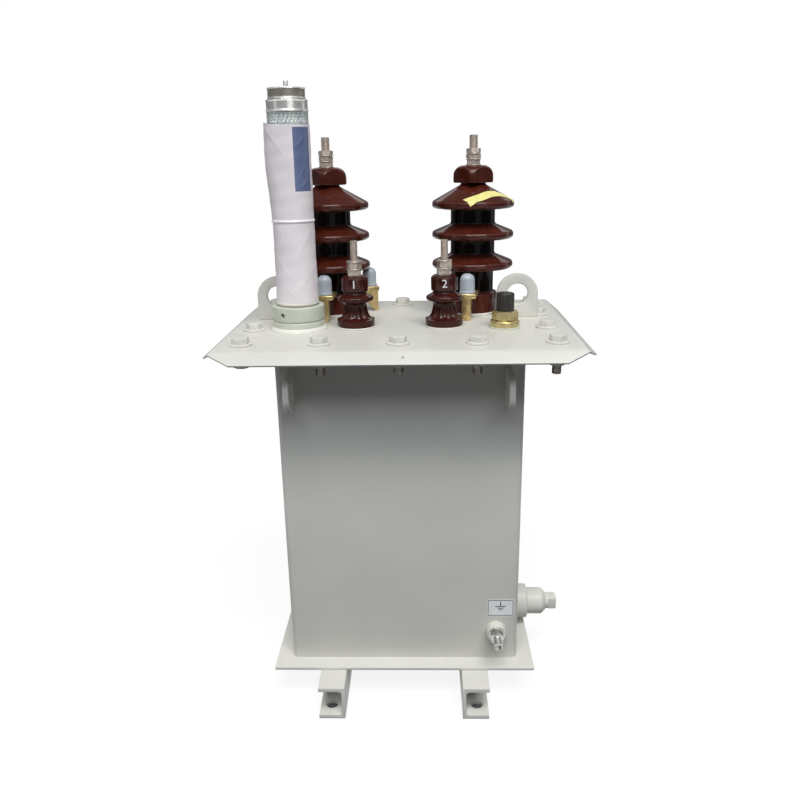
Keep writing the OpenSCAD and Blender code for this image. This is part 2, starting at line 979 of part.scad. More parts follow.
skid_left();
skid_right();
base_plate();
tank_shell();
tank_rim();
lid_gasket();
lid();
lid_lug_left();
lid_lug_right();
tank_lugs_front();
tank_lugs_rear();
hv_seat_left();
hv_seat_right();
hv_bushing_left();
hv_bushing_right();
hv_cap_left();
hv_cap_right();
hv_terminal_left();
hv_terminal_right();
hv_claws_left();
hv_claws_right();
claw_caps_left();
claw_caps_right();
lv_seat_left();
lv_seat_right();
lv_bushing_left();
lv_bushing_right();
lv_terminal_left();
lv_terminal_right();
breather_base();
breather_ring();
breather_tube();
breather_gel();
breather_collar();
breather_knob();
filler_washer();
filler_base();
filler_cap();
earth_boss();
earth_terminal();
drain_collar();
drain_body();
drain_plug();
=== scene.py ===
"""Looks of a small single-phase transformer: enamelled tank, glazed bushings, breather and fittings."""

import math

import bmesh
import bpy
from bpy.props import FloatProperty, FloatVectorProperty, PointerProperty
from mathutils import Matrix, Vector


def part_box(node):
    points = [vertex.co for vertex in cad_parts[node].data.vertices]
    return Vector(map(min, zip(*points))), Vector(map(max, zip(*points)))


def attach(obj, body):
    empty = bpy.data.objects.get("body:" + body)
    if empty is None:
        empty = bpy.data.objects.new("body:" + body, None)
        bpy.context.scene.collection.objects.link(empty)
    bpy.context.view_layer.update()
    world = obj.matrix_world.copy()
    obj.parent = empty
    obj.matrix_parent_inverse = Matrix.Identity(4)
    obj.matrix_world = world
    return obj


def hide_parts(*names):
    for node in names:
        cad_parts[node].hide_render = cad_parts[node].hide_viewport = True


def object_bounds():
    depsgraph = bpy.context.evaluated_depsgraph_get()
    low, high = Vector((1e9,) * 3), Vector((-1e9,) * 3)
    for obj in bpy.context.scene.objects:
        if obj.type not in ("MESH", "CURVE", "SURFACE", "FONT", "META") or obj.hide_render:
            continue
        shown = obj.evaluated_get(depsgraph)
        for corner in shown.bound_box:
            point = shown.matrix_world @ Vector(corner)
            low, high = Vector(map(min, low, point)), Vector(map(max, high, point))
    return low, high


bl_info = {
    "name": "Single-phase transformer",
    "version": (1, 0, 0),
    "blender": (4, 5, 0),
    "location": "View3D > Sidebar > Transformer",
    "description": "Models the looks of a small single-phase transformer around its frame",
    "category": "Object",
}

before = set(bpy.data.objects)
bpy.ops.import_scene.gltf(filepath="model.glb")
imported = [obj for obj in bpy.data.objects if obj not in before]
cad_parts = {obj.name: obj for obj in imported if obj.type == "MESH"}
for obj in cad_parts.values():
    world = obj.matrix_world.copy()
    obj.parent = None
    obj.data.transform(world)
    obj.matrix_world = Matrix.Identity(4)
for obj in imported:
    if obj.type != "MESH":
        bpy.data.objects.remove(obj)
CAD_BOX = [list(corner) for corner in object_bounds()]
# Places are metres, as in the frame. Outlines and other sizes of pieces are millimetres.
MM = 0.001
SIDES = ("left", "right")
ORIGIN = Vector()
# Corners of a mesh that lie closer than this are one.
WELD = 0.002 * MM
# Coarse thread of the M12 bolts and studs.
M12_RADIUS, M12_PITCH = 6, 1.75


def srgb(code):
    """Linear colour of an sRGB hex value."""
    parts = [int(code[i:i + 2], 16) / 255 for i in (1, 3, 5)]
    return tuple(c / 12.92 if c <= 0.04045 else ((c + 0.055) / 1.055) ** 2.4 for c in parts)


def tint(name, description, code):
    """Colour setting with its sRGB default."""
    return FloatVectorProperty(name=name, description=description, default=srgb(code), subtype="COLOR",
                               size=3, min=0, max=1)


def length(name, description, size):
    """Length setting with its default in millimetres."""
    return FloatProperty(name=name, description=description, default=size * MM, unit="LENGTH", min=0)


class TransformerColours(bpy.types.PropertyGroup):
    """Colours of the finishes"""
    enamel: tint("Enamel", "Light grey enamel of tank, lid and skids", "#dcdad3")
    glaze: tint("Glaze", "Brown glaze of the high-voltage porcelain", "#4c1f15")
    glaze_low: tint("Dark glaze", "Darker brown glaze of the low-voltage porcelain", "#3c1712")
    # Painted shade: the near-black glaze on the core between the sheds stands for the shade that the sheds
    # cast.
    glaze_dark: tint("Shade-painted glaze", "Near-black glaze on the core between the sheds, as painted shade", "#170a07")
    seat: tint("Seat rings", "White rubber rings under the porcelain", "#e6e3dc")
    tin: tint("Tinned steel", "Studs, nuts and washers of the terminals", "#d0c3b7")
    passivate: tint("Yellow zinc", "Passivated claws that hold the bushings", "#dcc18a")
    cap: tint("Claw caps", "Pale blue-grey plastic", "#b6bec8")
    thread: tint("Bolt steel", "Oiled ends of the lid bolts", "#7d7871")
    ring: tint("Breather rings", "Pale green-grey enamel", "#c8cdbe")
    acrylic: tint("Acrylic", "Clear tube of the breather", "#f0f4f5")
    film: tint("Film", "White film around the breather", "#f6edf2")
    print_blue: tint("Print", "Blue field printed on the film", "#6a769c")
    gel: tint("Granules", "Drying granules in the tube", "#cdd1cb")
    aluminium: tint("Aluminium", "Turned collar of the breather", "#f2f2ee")
    knurl: tint("Knurled knob", "Dark metal of the breather's knob", "#9a9288")
    brass: tint("Brass", "Filler plug's base and hexagon", "#cbbb88")
    black: tint("Black plastic", "Filler plug's cap", "#26241f")
    zinc: tint("Zinc", "Earth stud and nut", "#c4c4c0")
    tape: tint("Tape", "Yellow adhesive tape", "#f4ec98")
    label: tint("Label", "White vinyl of the earth label", "#efeff0")
    ink: tint("Ink", "Black print on the label", "#191919")
    gasket: tint("Gasket", "Cork and rubber sheet under the lid", "#37352f")
    floor: tint("Floor", "Pale floor as the eye sees it lit", "#6e6e6c")
    floor_bounce: tint("Floor bounce", "Colour of the light that the floor throws back", "#57585b")
    top_light: tint("Top light", "Slightly warm light of the high lamp", "#fffcf8")
    front_light: tint("Front light", "Slightly cool light of the front lamp", "#f3fbff")
    fill: tint("Fill colour", "Cool light of the room", "#eaf3ff")
    card: tint("Cards", "Dim cards that glossy pieces mirror", "#7c7e80")


class TransformerSizes(bpy.types.PropertyGroup):
    """Sizes that the frame doesn't hold"""
    edge: length("Plate edge", "Rounding of plate and lug edges", 1.2)
    fold: length("Lid fold", "Width of the rounded fold around the lid", 4.5)
    sheet: length("Lid sheet", "Thickness of the lid's sheet", 3)
    skirt_out: length("Skirt width", "Reach of the lid's skirt in plan", 17.5)
    skirt_drop: length("Skirt drop", "Height of the lid's skirt", 13)
    skirt_mitre: length("Skirt mitre", "Setback of the skirt's ends", 24)
    bolt_along: length("Bolt pitch along", "Spacing of lid bolts along the lid", 98.5)
    bolt_across: length("Bolt pitch across", "Spacing of lid bolts across the lid", 87.5)
    bolt_head: length("Bolt head", "Width across flats of the lid bolts", 19.5)
    bolt_washer: length("Bolt washer", "Diameter of the lid bolts' washers", 30)
    film_slack: length("Film slack", "How far the film stands off on its loose left side", 5)
    bead: length("Granule", "Diameter of a drying granule", 4.4)
    tape_width: length("Tape width", "Width of the yellow tape", 14)
    numeral: length("Numeral height", "Height of the numbers on the low-voltage bushings", 11)
    label_width: length("Label width", "Width of the earth label", 39.5)
    label_height: length("Label height", "Height of the earth label", 28.5)


class TransformerStage(bpy.types.PropertyGroup):
    """Camera and light"""
    lens: FloatProperty(name="Lens", description="Focal length of the camera in millimetres", default=34.65)
    yaw: FloatProperty(name="Yaw", description="Turn of the camera to the right", subtype="ANGLE",
                       default=math.radians(-1.78))
    pitch: FloatProperty(name="Pitch", description="Tilt of the camera downwards", subtype="ANGLE",
                         default=math.radians(17.66))
    roll: FloatProperty(name="Roll", description="Roll of the camera", subtype="ANGLE",
                        default=math.radians(-0.99))
    eye: FloatVectorProperty(name="Eye", description="Place of the camera", subtype="TRANSLATION",
                             default=(0.030, -1.062, 0.759))
    top_power: FloatProperty(name="Top light", description="Power of the high lamp", default=224,
                             subtype="POWER")
    front_power: FloatProperty(name="Front light", description="Power of the lamp in front", default=177,
                               subtype="POWER")
    rear_power: FloatProperty(name="Rear light", description="Power of each low lamp behind", default=32,
                              subtype="POWER")
    side_power: FloatProperty(name="Side light", description="Power of the low lamp at the left", default=14,
                              subtype="POWER")
    fill: FloatProperty(name="Fill light", description="Strength of the room's own light", default=0.1, min=0)


def colours():
    return bpy.context.scene.transformer_colours


def sizes():
    return bpy.context.scene.transformer_sizes


# Modelling helpers


def select_only(piece):
    """Select one piece and make it the active one."""
    bpy.ops.object.select_all(action="DESELECT")
    piece.select_set(True)
    bpy.context.view_layer.objects.active = piece


def fresh(name, primitive, **settings):
    """A new primitive to model from, the only one selected."""
    bpy.ops.object.select_all(action="DESELECT")
    primitive(**settings)
    piece = bpy.context.object
    piece.name = name
    return piece


def settle(piece):
    """Put a piece's place, turn and scale into its mesh."""
    select_only(piece)
    bpy.ops.object.transform_apply(location=True, rotation=True, scale=True)


def edit(piece):
    """Enter edit mode with everything selected."""
    select_only(piece)
    bpy.ops.object.mode_set(mode="EDIT")
    bpy.ops.mesh.select_mode(type="VERT")
    bpy.ops.mesh.select_all(action="SELECT")


def leave_edit():
    bpy.ops.object.mode_set(mode="OBJECT")


def pick(piece, kind, test):
    """In edit mode, select the verts, edges or faces whose middle and self pass a test."""
    bpy.ops.mesh.select_mode(type={"verts": "VERT", "edges": "EDGE", "faces": "FACE"}[kind])
    bpy.ops.mesh.select_all(action="DESELECT")
    mesh = bmesh.from_edit_mesh(piece.data)
    for part in getattr(mesh, kind):
        corners = [part] if kind == "verts" else list(part.verts)
        middle = sum((v.co for v in corners), Vector()) / len(corners)
        if test(middle, part):
            part.select_set(True)
    bmesh.update_edit_mesh(piece.data)


def close_up(piece):
    """Merge doubles and turn all faces outwards."""
    edit(piece)
    bpy.ops.mesh.remove_doubles(threshold=WELD)
    bpy.ops.mesh.normals_make_consistent(inside=False)
    leave_edit()


def apply_modifier(piece, kind, **settings):
    """Add a modifier with its settings and apply it."""
    modifier = piece.modifiers.new(kind.lower(), kind)
    for setting, value in settings.items():
        setattr(modifier, setting, value)
    select_only(piece)
    bpy.ops.object.modifier_apply(modifier=modifier.name)


def cut(piece, tool, operation):
    """Cut a piece by another closed piece, which is used up."""
    apply_modifier(piece, "BOOLEAN", operation=operation, object=tool, solver="EXACT")
    bpy.data.objects.remove(tool)


def join(name, *pieces):
    """Join pieces into the first of them under a name."""
    select_only(pieces[0])
    for piece in pieces[1:]:
        piece.select_set(True)
    bpy.ops.object.join()
    pieces[0].name = name
    return pieces[0]


def copied(piece, name, place, turn=0):
    """A copy with its own mesh, standing on a place and turned about the upright axis."""
    select_only(piece)
    bpy.ops.object.duplicate()
    copy = bpy.context.object
    copy.name = name
    copy.location = place
    copy.rotation_euler.z = turn
    return copy


def rounded(corners, arc=6):
    """Outline from (radius, height, fillet) corners: a corner with a fillet becomes an arc."""
    points = []
    for i, (radius, height, fillet) in enumerate(corners):
        here = Vector((radius, height))
        if not fillet:
            points.append(here)
            continue
        back = (Vector(corners[i - 1][:2]) - here).normalized()
        ahead = (Vector(corners[i + 1][:2]) - here).normalized()
        half = back.angle(ahead) / 2
        centre = here + (back + ahead).normalized() * fillet / math.sin(half)
        start = (here + back * fillet / math.tan(half) - centre).normalized()
        end = (here + ahead * fillet / math.tan(half) - centre).normalized()
        points += [centre + start.slerp(end, k / arc) * fillet for k in range(arc + 1)]
    return points


def drawn(name, outline, at):
    """A chain of edges through (radius, height) points beside the upright axis at a place."""
    piece = fresh(name, bpy.ops.mesh.primitive_plane_add, size=MM, location=at)
    edit(piece)
    bpy.ops.mesh.merge(type="CENTER")
    before = Vector((0, 0))
    for i, point in enumerate(outline):
        step = (Vector(point) - before) * MM
        if i:
            bpy.ops.mesh.extrude_vertices_move(TRANSFORM_OT_translate={"value": (step.x, 0, step.y)})
        else:
            bpy.ops.transform.translate(value=(step.x, 0, step.y))
        before = Vector(point)
    leave_edit()
    return piece


def turned(name, outline, at, steps=64):
    """A piece turned on a lathe: an outline spun once about the upright axis at a place."""
    piece = drawn(name, outline, at)
    edit(piece)
    bpy.ops.mesh.spin(steps=steps, angle=math.tau, center=at, axis=(0, 0, 1))
    leave_edit()
    close_up(piece)
    return piece


def threaded(name, radius, pitch, tall, at, steps=20):
    """A rod with a rolled thread and a chamfered end, standing on a place."""
    root = radius - 0.4 * pitch
    ridge = [(root, -pitch), (root, -0.9 * pitch), (radius, -0.64 * pitch), (radius, -0.26 * pitch),
             (root, 0)]
    piece = drawn(name, ridge, at)
    apply_modifier(piece, "SCREW", axis="Z", angle=math.tau, screw_offset=pitch * MM, steps=steps,
                   render_steps=steps, iterations=math.ceil(tall / pitch) + 2, use_merge_vertices=True,
                   merge_threshold=WELD)
    top = at + Vector((0, 0, tall * MM))
    for plane, below in ((at, True), (top, False)):
        edit(piece)
        bpy.ops.mesh.bisect(plane_co=plane, plane_no=(0, 0, 1), use_fill=True,
                            clear_inner=below, clear_outer=not below)
        leave_edit()
    edit(piece)
    pick(piece, "verts", lambda middle, part: middle.z > (tall - 0.05) * MM)
    bpy.ops.transform.resize(value=(0.8, 0.8, 1), center_override=top)
    leave_edit()
    close_up(piece)
    return piece


def hexagon(name, across, tall, at, both_ends=True):
    """A hexagon for a spanner, its corners cut back by a cone at the top or at both ends."""
    corner = across / math.sqrt(3)
    flat = 0.475 * across
    slack = corner + 0.5
    slope = (slack - flat) * math.tan(math.radians(30))
    piece = fresh(name, bpy.ops.mesh.primitive_cylinder_add, vertices=6, radius=corner * MM, depth=tall * MM,
                  location=at)
    edit(piece)
    bpy.ops.transform.translate(value=(0, 0, tall * MM / 2))
    leave_edit()
    foot = [(0, 0), (flat, 0), (slack, slope)] if both_ends else [(0, 0), (slack, 0)]
    cone = turned("cone", foot + [(slack, tall - slope), (flat, tall), (0, tall)], at, 48)
    cut(piece, cone, "INTERSECT")
    return piece


def disc(name, radius, tall, at, edge=0.4, steps=48):
    """A flat washer with softened rims."""
    outline = rounded([(0, 0, 0), (radius, 0, edge), (radius, tall, edge), (0, tall, 0)], 3)
    return turned(name, outline, at, steps)


def fluted(piece, count, depth, low, high, fade):
    """Press flutes into a turned piece's side between two heights, fading out at both ends."""
    for vertex in piece.data.vertices:
        height = vertex.co.z / MM
        inside = min(height - low, high - height) / fade
        strength = max(0.0, min(1.0, inside))
        reach = math.hypot(vertex.co.x, vertex.co.y)
        if strength and reach:
            wave = 0.5 - 0.5 * math.cos(count * math.atan2(vertex.co.y, vertex.co.x))
            scale = 1 - strength * wave * depth * MM / reach
            vertex.co.x *= scale
            vertex.co.y *= scale


def softened(node, name, width, segments=3):
    """A copy of a CAD node with its flat faces whole and its edges rounded."""
    select_only(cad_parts[node])
    bpy.ops.object.duplicate()
    copy = bpy.context.object
    copy.name = name
    copy.parent = None
    for key in list(copy.keys()):
        del copy[key]
    bpy.ops.mesh.customdata_custom_splitnormals_clear()
    edit(copy)
    bpy.ops.mesh.remove_doubles(threshold=WELD)
    bpy.ops.mesh.dissolve_limited(angle_limit=math.radians(1))
    leave_edit()
    apply_modifier(copy, "BEVEL", width=width, segments=segments, limit_method="ANGLE",
                   angle_limit=math.radians(40))
    return copy


def sheeted(name, rows):
    """An open sheet through rows of points."""
    width = len(rows[0])
    faces = [(r * width + c, r * width + c + 1, (r + 1) * width + c + 1, (r + 1) * width + c)
             for r in range(len(rows) - 1) for c in range(width - 1)]
    mesh = bpy.data.meshes.new(name)
    mesh.from_pydata([point for row in rows for point in row], [], faces)
    sheet = bpy.data.objects.new(name, mesh)
    bpy.context.collection.objects.link(sheet)
    return sheet


def paint(piece, material):
    """Give a piece one finish all over."""
    piece.data.materials.clear()
    piece.data.materials.append(material)
    return piece


def dress(piece, slot, *nodes, angle=32):
    """Put a finished piece's place into its mesh, smooth it and tie it to the frame."""
    settle(piece)
    bpy.ops.object.shade_smooth_by_angle(angle=math.radians(angle))
    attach(piece, "root")
    if nodes:
        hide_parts(*nodes)
    return piece


def seat(node):
    """Foot of a CAD node's upright axis."""
    low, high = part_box(node)
    return Vector(((low.x + high.x) / 2, (low.y + high.y) / 2, low.z))


def span(node):
    """Width, depth and height of a CAD node's box in millimetres."""
    low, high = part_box(node)
    return (high - low) / MM


def lift(place, tall):
    """The point a height in millimetres above a place."""
    return place + Vector((0, 0, tall * MM))


def heading(turn):
    """Level direction at a turn from the X axis."""
    return Vector((math.cos(turn), math.sin(turn), 0))


# Materials


def add(tree, kind, links=None, **settings):
    """Add a shader node; links maps a socket to a value or to another node's output."""
    node = tree.nodes.new("ShaderNode" + kind)
    for setting, value in settings.items():
        setattr(node, setting, value)
    for socket, value in (links or {}).items():
        if isinstance(value, bpy.types.NodeSocket):
            tree.links.new(value, node.inputs[socket])
        else:
            node.inputs[socket].default_value = value
    return node


def figured(tree, operation, *terms):
    """Output of a math node over values or other nodes' outputs."""
    return add(tree, "Math", dict(enumerate(terms)), operation=operation).outputs[0]


def shade(colour, share):
    """A colour darkened or lightened by a share, for a colour socket."""
    return (*[min(1.0, c * share) for c in colour], 1)


def finish(name, light, dark, patch, rough, grain, depth, sockets):
    """A finish: two colours in patches, roughness between two values and a fine bump.

    Patch, grain and depth are millimetres; sockets holds what is the same all over.
    """
    if name in bpy.data.materials:
        return bpy.data.materials[name]
    material = bpy.data.materials.new(name)
    material.use_nodes = True
    tree = material.node_tree
    shader = tree.nodes["Principled BSDF"]
    for socket, value in sockets.items():
        shader.inputs[socket].default_value = value
    place = add(tree, "TexCoord").outputs["Object"]
    cloud = add(tree, "TexNoise", {"Vector": place, "Scale": 1 / (patch * MM), "Detail": 4.0})
    share = add(tree, "MapRange", {"Value": cloud.outputs[0], "From Min": 0.35, "From Max": 0.65})
    colour = add(tree, "Mix", {0: share.outputs[0], 6: light, 7: dark}, data_type="RGBA")
    gloss = add(tree, "MapRange", {"Value": cloud.outputs[0], "From Min": 0.3, "From Max": 0.7,
                                   "To Min": rough[0], "To Max": rough[1]})
    grit = add(tree, "TexNoise", {"Vector": place, "Scale": 1 / (grain * MM), "Detail": 2.0})
    bump = add(tree, "Bump", {"Height": grit.outputs[0], "Distance": depth * MM, "Strength": 1.0})
    tree.links.new(colour.outputs[2], shader.inputs["Base Color"])
    tree.links.new(gloss.outputs[0], shader.inputs["Roughness"])
    tree.links.new(bump.outputs[0], shader.inputs["Normal"])
    return material


def grey_enamel():
    # Sprayed and stoved enamel: half gloss, a faint orange peel, hardly any change of tone.
    c = colours().enamel
    return finish("Stoved grey enamel", shade(c, 1), shade(c, 0.95), 90, (0.28, 0.38), 2.5, 0.03,
                  {"Specular IOR Level": 0.2})


def brown_glaze():
    # Fired brown glaze over porcelain: wet gloss, near black in the shade, warm where light strikes.
    c = colours().glaze
    return finish("Brown porcelain glaze", shade(c, 1.15), shade(c, 0.8), 14, (0.05, 0.09), 9, 0.05,
                  {"IOR": 1.4, "Specular IOR Level": 0.35})


def dark_glaze():
    # The brown glaze made darker all over for the low-voltage porcelain: wet gloss, plum brown in the light.
    c = colours().glaze_low
    return finish("Dark brown porcelain glaze", shade(c, 1.2), shade(c, 0.8), 10, (0.05, 0.09), 7, 0.05,
                  {"IOR": 1.45, "Specular IOR Level": 0.3})


def thick_glaze():
    # The same glaze, almost black and with less reflection, on the core between the sheds: painted shade
    # where the sheds shadow the core; still wet.
    c = colours().glaze_dark
    return finish("Thick porcelain glaze", shade(c, 1.3), shade(c, 0.6), 14, (0.05, 0.09), 9, 0.05,
                  {"IOR": 1.4, "Specular IOR Level": 0.12})


def seat_rubber():
    # White moulded rubber: matt, a little dusty.
    c = colours().seat
    return finish("White seat rubber", shade(c, 1), shade(c, 0.9), 6, (0.5, 0.65), 0.8, 0.05, {})


def tinned_steel():
    # Tinned steel: bright warm grey metal with dull streaks.
    c = colours().tin
    return finish("Tinned steel", shade(c, 1.05), shade(c, 0.75), 4, (0.28, 0.42), 1.6, 0.02,
                  {"Metallic": 0.65})


def yellow_zinc():
    # Yellow-passivated zinc on pressed steel: golden with paler and greener clouds.
    c = colours().passivate
    return finish("Yellow passivated zinc", shade(c, 1.1), shade(c, 0.7), 9, (0.22, 0.36), 3, 0.02,
                  {"Metallic": 0.8})


def bolt_steel():
    # Plated bolt steel, oiled: dark grey metal with a bright streak.
    c = colours().thread
    return finish("Oiled bolt steel", shade(c, 1.1), shade(c, 0.75), 6, (0.25, 0.38), 0.8, 0.01,
                  {"Metallic": 0.9})


def cap_plastic():
    # Moulded pale plastic: soft gloss, faintly see-through.
    c = colours().cap
    return finish("Blue-grey moulded plastic", shade(c, 1.05), shade(c, 0.92), 12, (0.3, 0.42), 1.2, 0.02, {})


def ring_enamel():
    # Brushed green-grey enamel on turned rings: smooth, half gloss.
    c = colours().ring
    return finish("Green-grey ring enamel", shade(c, 1.03), shade(c, 0.93), 20, (0.3, 0.42), 1.5, 0.03, {})


def clear_acrylic():
    # Extruded acrylic tube: clear, glossy, slightly wavy, with a haze of dust from the granules.
    c = colours().acrylic
    return finish("Clear acrylic", shade(c, 1.0), shade(c, 0.94), 15, (0.02, 0.05), 8, 0.03,
                  {"IOR": 1.49, "Transmission Weight": 0.82})


def silica_gel():
    # Glassy drying granules: pale, half clear, dark between.
    c = colours().gel
    return finish("Silica gel granules", shade(c, 1.1), shade(c, 0.75), 4, (0.15, 0.3), 1, 0.05,
                  {"IOR": 1.46})


def white_film():
    # Thin white plastic film: soft gloss, faintly lilac, with shallow dents.
    c = colours().film
    return finish("White plastic film", shade(c, 1.02), shade(c, 0.93), 45, (0.3, 0.45), 14, 0.25, {})


def blue_print():
    # Blue ink printed on the film: same gloss, a little uneven.
    c = colours().print_blue
    return finish("Blue printed film", shade(c, 1.05), shade(c, 0.9), 20, (0.2, 0.3), 14, 0.25, {})


def spun_aluminium():
    # Turned aluminium: bright, with fine rings from the tool.
    c = colours().aluminium
    name = "Turned aluminium"
    known = name in bpy.data.materials
    material = finish(name, shade(c, 1.05), shade(c, 0.85), 12, (0.22, 0.32), 0.8, 0.01, {"Metallic": 0.9})
    if not known:
        tree = material.node_tree
        place = add(tree, "TexCoord").outputs["Object"]
        # tool rings, drawn wide apart so that they show; the wave texture has 20 radians to a unit
        ring_pitch = 1.2 * MM
        scale = math.tau / (20 * ring_pitch)
        rings = add(tree, "TexWave", {"Vector": place, "Scale": scale, "Distortion": 0.3},
                    bands_direction="Z")
        bump = add(tree, "Bump", {"Height": rings.outputs[0], "Distance": 0.02 * MM, "Strength": 1.0})
        tree.links.new(bump.outputs[0], tree.nodes["Principled BSDF"].inputs["Normal"])
    return material


def dark_knurl():
    # Knurled dark metal: dull, brownish where it is handled.
    c = colours().knurl
    return finish("Dark knurled metal", shade(c, 1.1), shade(c, 0.7), 9, (0.3, 0.45), 0.8, 0.02,
                  {"Metallic": 0.5})


def brass():
    # Machined brass: pale yellow metal, slightly dull in patches.
    c = colours().brass
    return finish("Machined brass", shade(c, 1.05), shade(c, 0.86), 8, (0.2, 0.3), 2.5, 0.006,
                  {"Metallic": 0.7})


def black_plastic():
    # Moulded black plastic: soft gloss on the ribs.
    c = colours().black
    return finish("Black moulded plastic", shade(c, 1.2), shade(c, 0.8), 6, (0.3, 0.45), 0.8, 0.03, {})


def zinc_plate():
    # Bright zinc plate on steel: cool grey metal.
    c = colours().zinc
    return finish("Bright zinc plate", shade(c, 1.05), shade(c, 0.8), 4, (0.18, 0.34), 1.5, 0.02,
                  {"Metallic": 1.0})


def yellow_tape():
    # Plastic adhesive tape: pale yellow, soft gloss, a few creases.
    c = colours().tape
    return finish("Yellow adhesive tape", shade(c, 1.02), shade(c, 0.9), 9, (0.35, 0.5), 5, 0.12, {})


def label_vinyl():
    # White vinyl label: smooth, half matt.
    c = colours().label
    return finish("White label vinyl", shade(c, 1), shade(c, 0.94), 15, (0.35, 0.45), 3, 0.02, {})


def print_ink():
    # Screen-printed black ink: half matt, thin in places.
    c = colours().ink
    return finish("Black print ink", shade(c, 1), shade(c, 1.8), 3, (0.4, 0.5), 1, 0.01, {})


def cork_gasket():
    # Cork bound with rubber: dark, matt, grainy.
    c = colours().gasket
    return finish("Cork and rubber sheet", shade(c, 1.3), shade(c, 0.7), 2.5, (0.7, 0.85), 1.2, 0.2, {})


# Operators, one for each piece or group of like pieces


class TRANSFORMER_OT_tank(bpy.types.Operator):
    """Model the enamelled tank with its skids, base plate, rim and lugs"""
    bl_idname = "transformer.tank"
    bl_label = "Tank and skids"

    def execute(self, context):
        edge = sizes().edge
        plates = {"skid_left": "left_skid_channel", "skid_right": "right_skid_channel",
                  "base_plate": "foot_plate", "tank_rim": "bolting_rim", "lid_lug_left": "left_lid_eye",
                  "lid_lug_right": "right_lid_eye", "tank_lugs_front": "front_wall_lugs",
                  "tank_lugs_rear": "rear_wall_lugs"}
        for node, name in plates.items():
            plate = softened(node, name, edge)
            dress(paint(plate, grey_enamel()), "grey_enamel", node)
        walls = softened("tank_shell", "tank_walls", edge / 3)
        dress(paint(walls, grey_enamel()), "grey_enamel", "tank_shell")
        packing = softened("lid_gasket", "rim_packing", edge / 3)
        dress(paint(packing, cork_gasket()), "cork_gasket", "lid_gasket")
        return {"FINISHED"}


class TRANSFORMER_OT_lid(bpy.types.Operator):
    """Model the folded lid sheet with its four sloping skirts"""
    bl_idname = "transformer.lid"
    bl_label = "Lid"

    def execute(self, context):
        size = sizes()
        low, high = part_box("lid")
        half = (high - low) / 2 - Vector((size.skirt_out, size.skirt_out, 0))
        lid = fresh("lid_sheet", bpy.ops.mesh.primitive_plane_add, size=1, location=(0, 0, high.z))
        lid.scale = (2 * half.x, 2 * half.y, 1)
        settle(lid)
        for across, reach, along in ((0, half.x, half.y), (1, half.y, half.x)):
            for side in (-1, 1):
                edit(lid)
                pick(lid, "edges", lambda middle, part: abs(middle[across] - side * reach) < MM / 10
                     and part.is_boundary)
                out = Vector((0, 0, -size.skirt_drop))
                out[across] = side * size.skirt_out
                bpy.ops.mesh.extrude_edges_move(TRANSFORM_OT_translate={"value": out})
                narrow = [1, 1, 1]
                narrow[1 - across] = 1 - size.skirt_mitre / along
                bpy.ops.transform.resize(value=narrow, center_override=(0, 0, high.z))
                leave_edit()
        edit(lid)
        pick(lid, "edges", lambda middle, part: not part.is_boundary)
        bpy.ops.mesh.bevel(offset=size.fold, segments=5, affect="EDGES")
        leave_edit()
        close_up(lid)
        if sum(face.normal.z for face in lid.data.polygons) < 0:
            edit(lid)
            bpy.ops.mesh.flip_normals()
            leave_edit()
        apply_modifier(lid, "SOLIDIFY", thickness=size.sheet, offset=-1, use_even_offset=True)
        apply_modifier(lid, "BEVEL", width=size.sheet / 5, segments=2, limit_method="ANGLE",
                       angle_limit=math.radians(50))
        self.drill(lid)
        dress(paint(lid, grey_enamel()), "grey_enamel", "lid")
        return {"FINISHED"}

    def drill(self, lid):
        """Cut the small hole in the front skirt."""
        size = sizes()
        hole_radius, hole_right, drill_tall = 1.75, 6.5, 12
        low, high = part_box("lid")
        place = Vector((hole_right * MM, low.y + size.skirt_out / 2, high.z - size.skirt_drop / 2))
        drill = disc("drill", hole_radius, drill_tall, lift(place, -drill_tall / 2), 0.1, 24)
        cut(lid, drill, "DIFFERENCE")


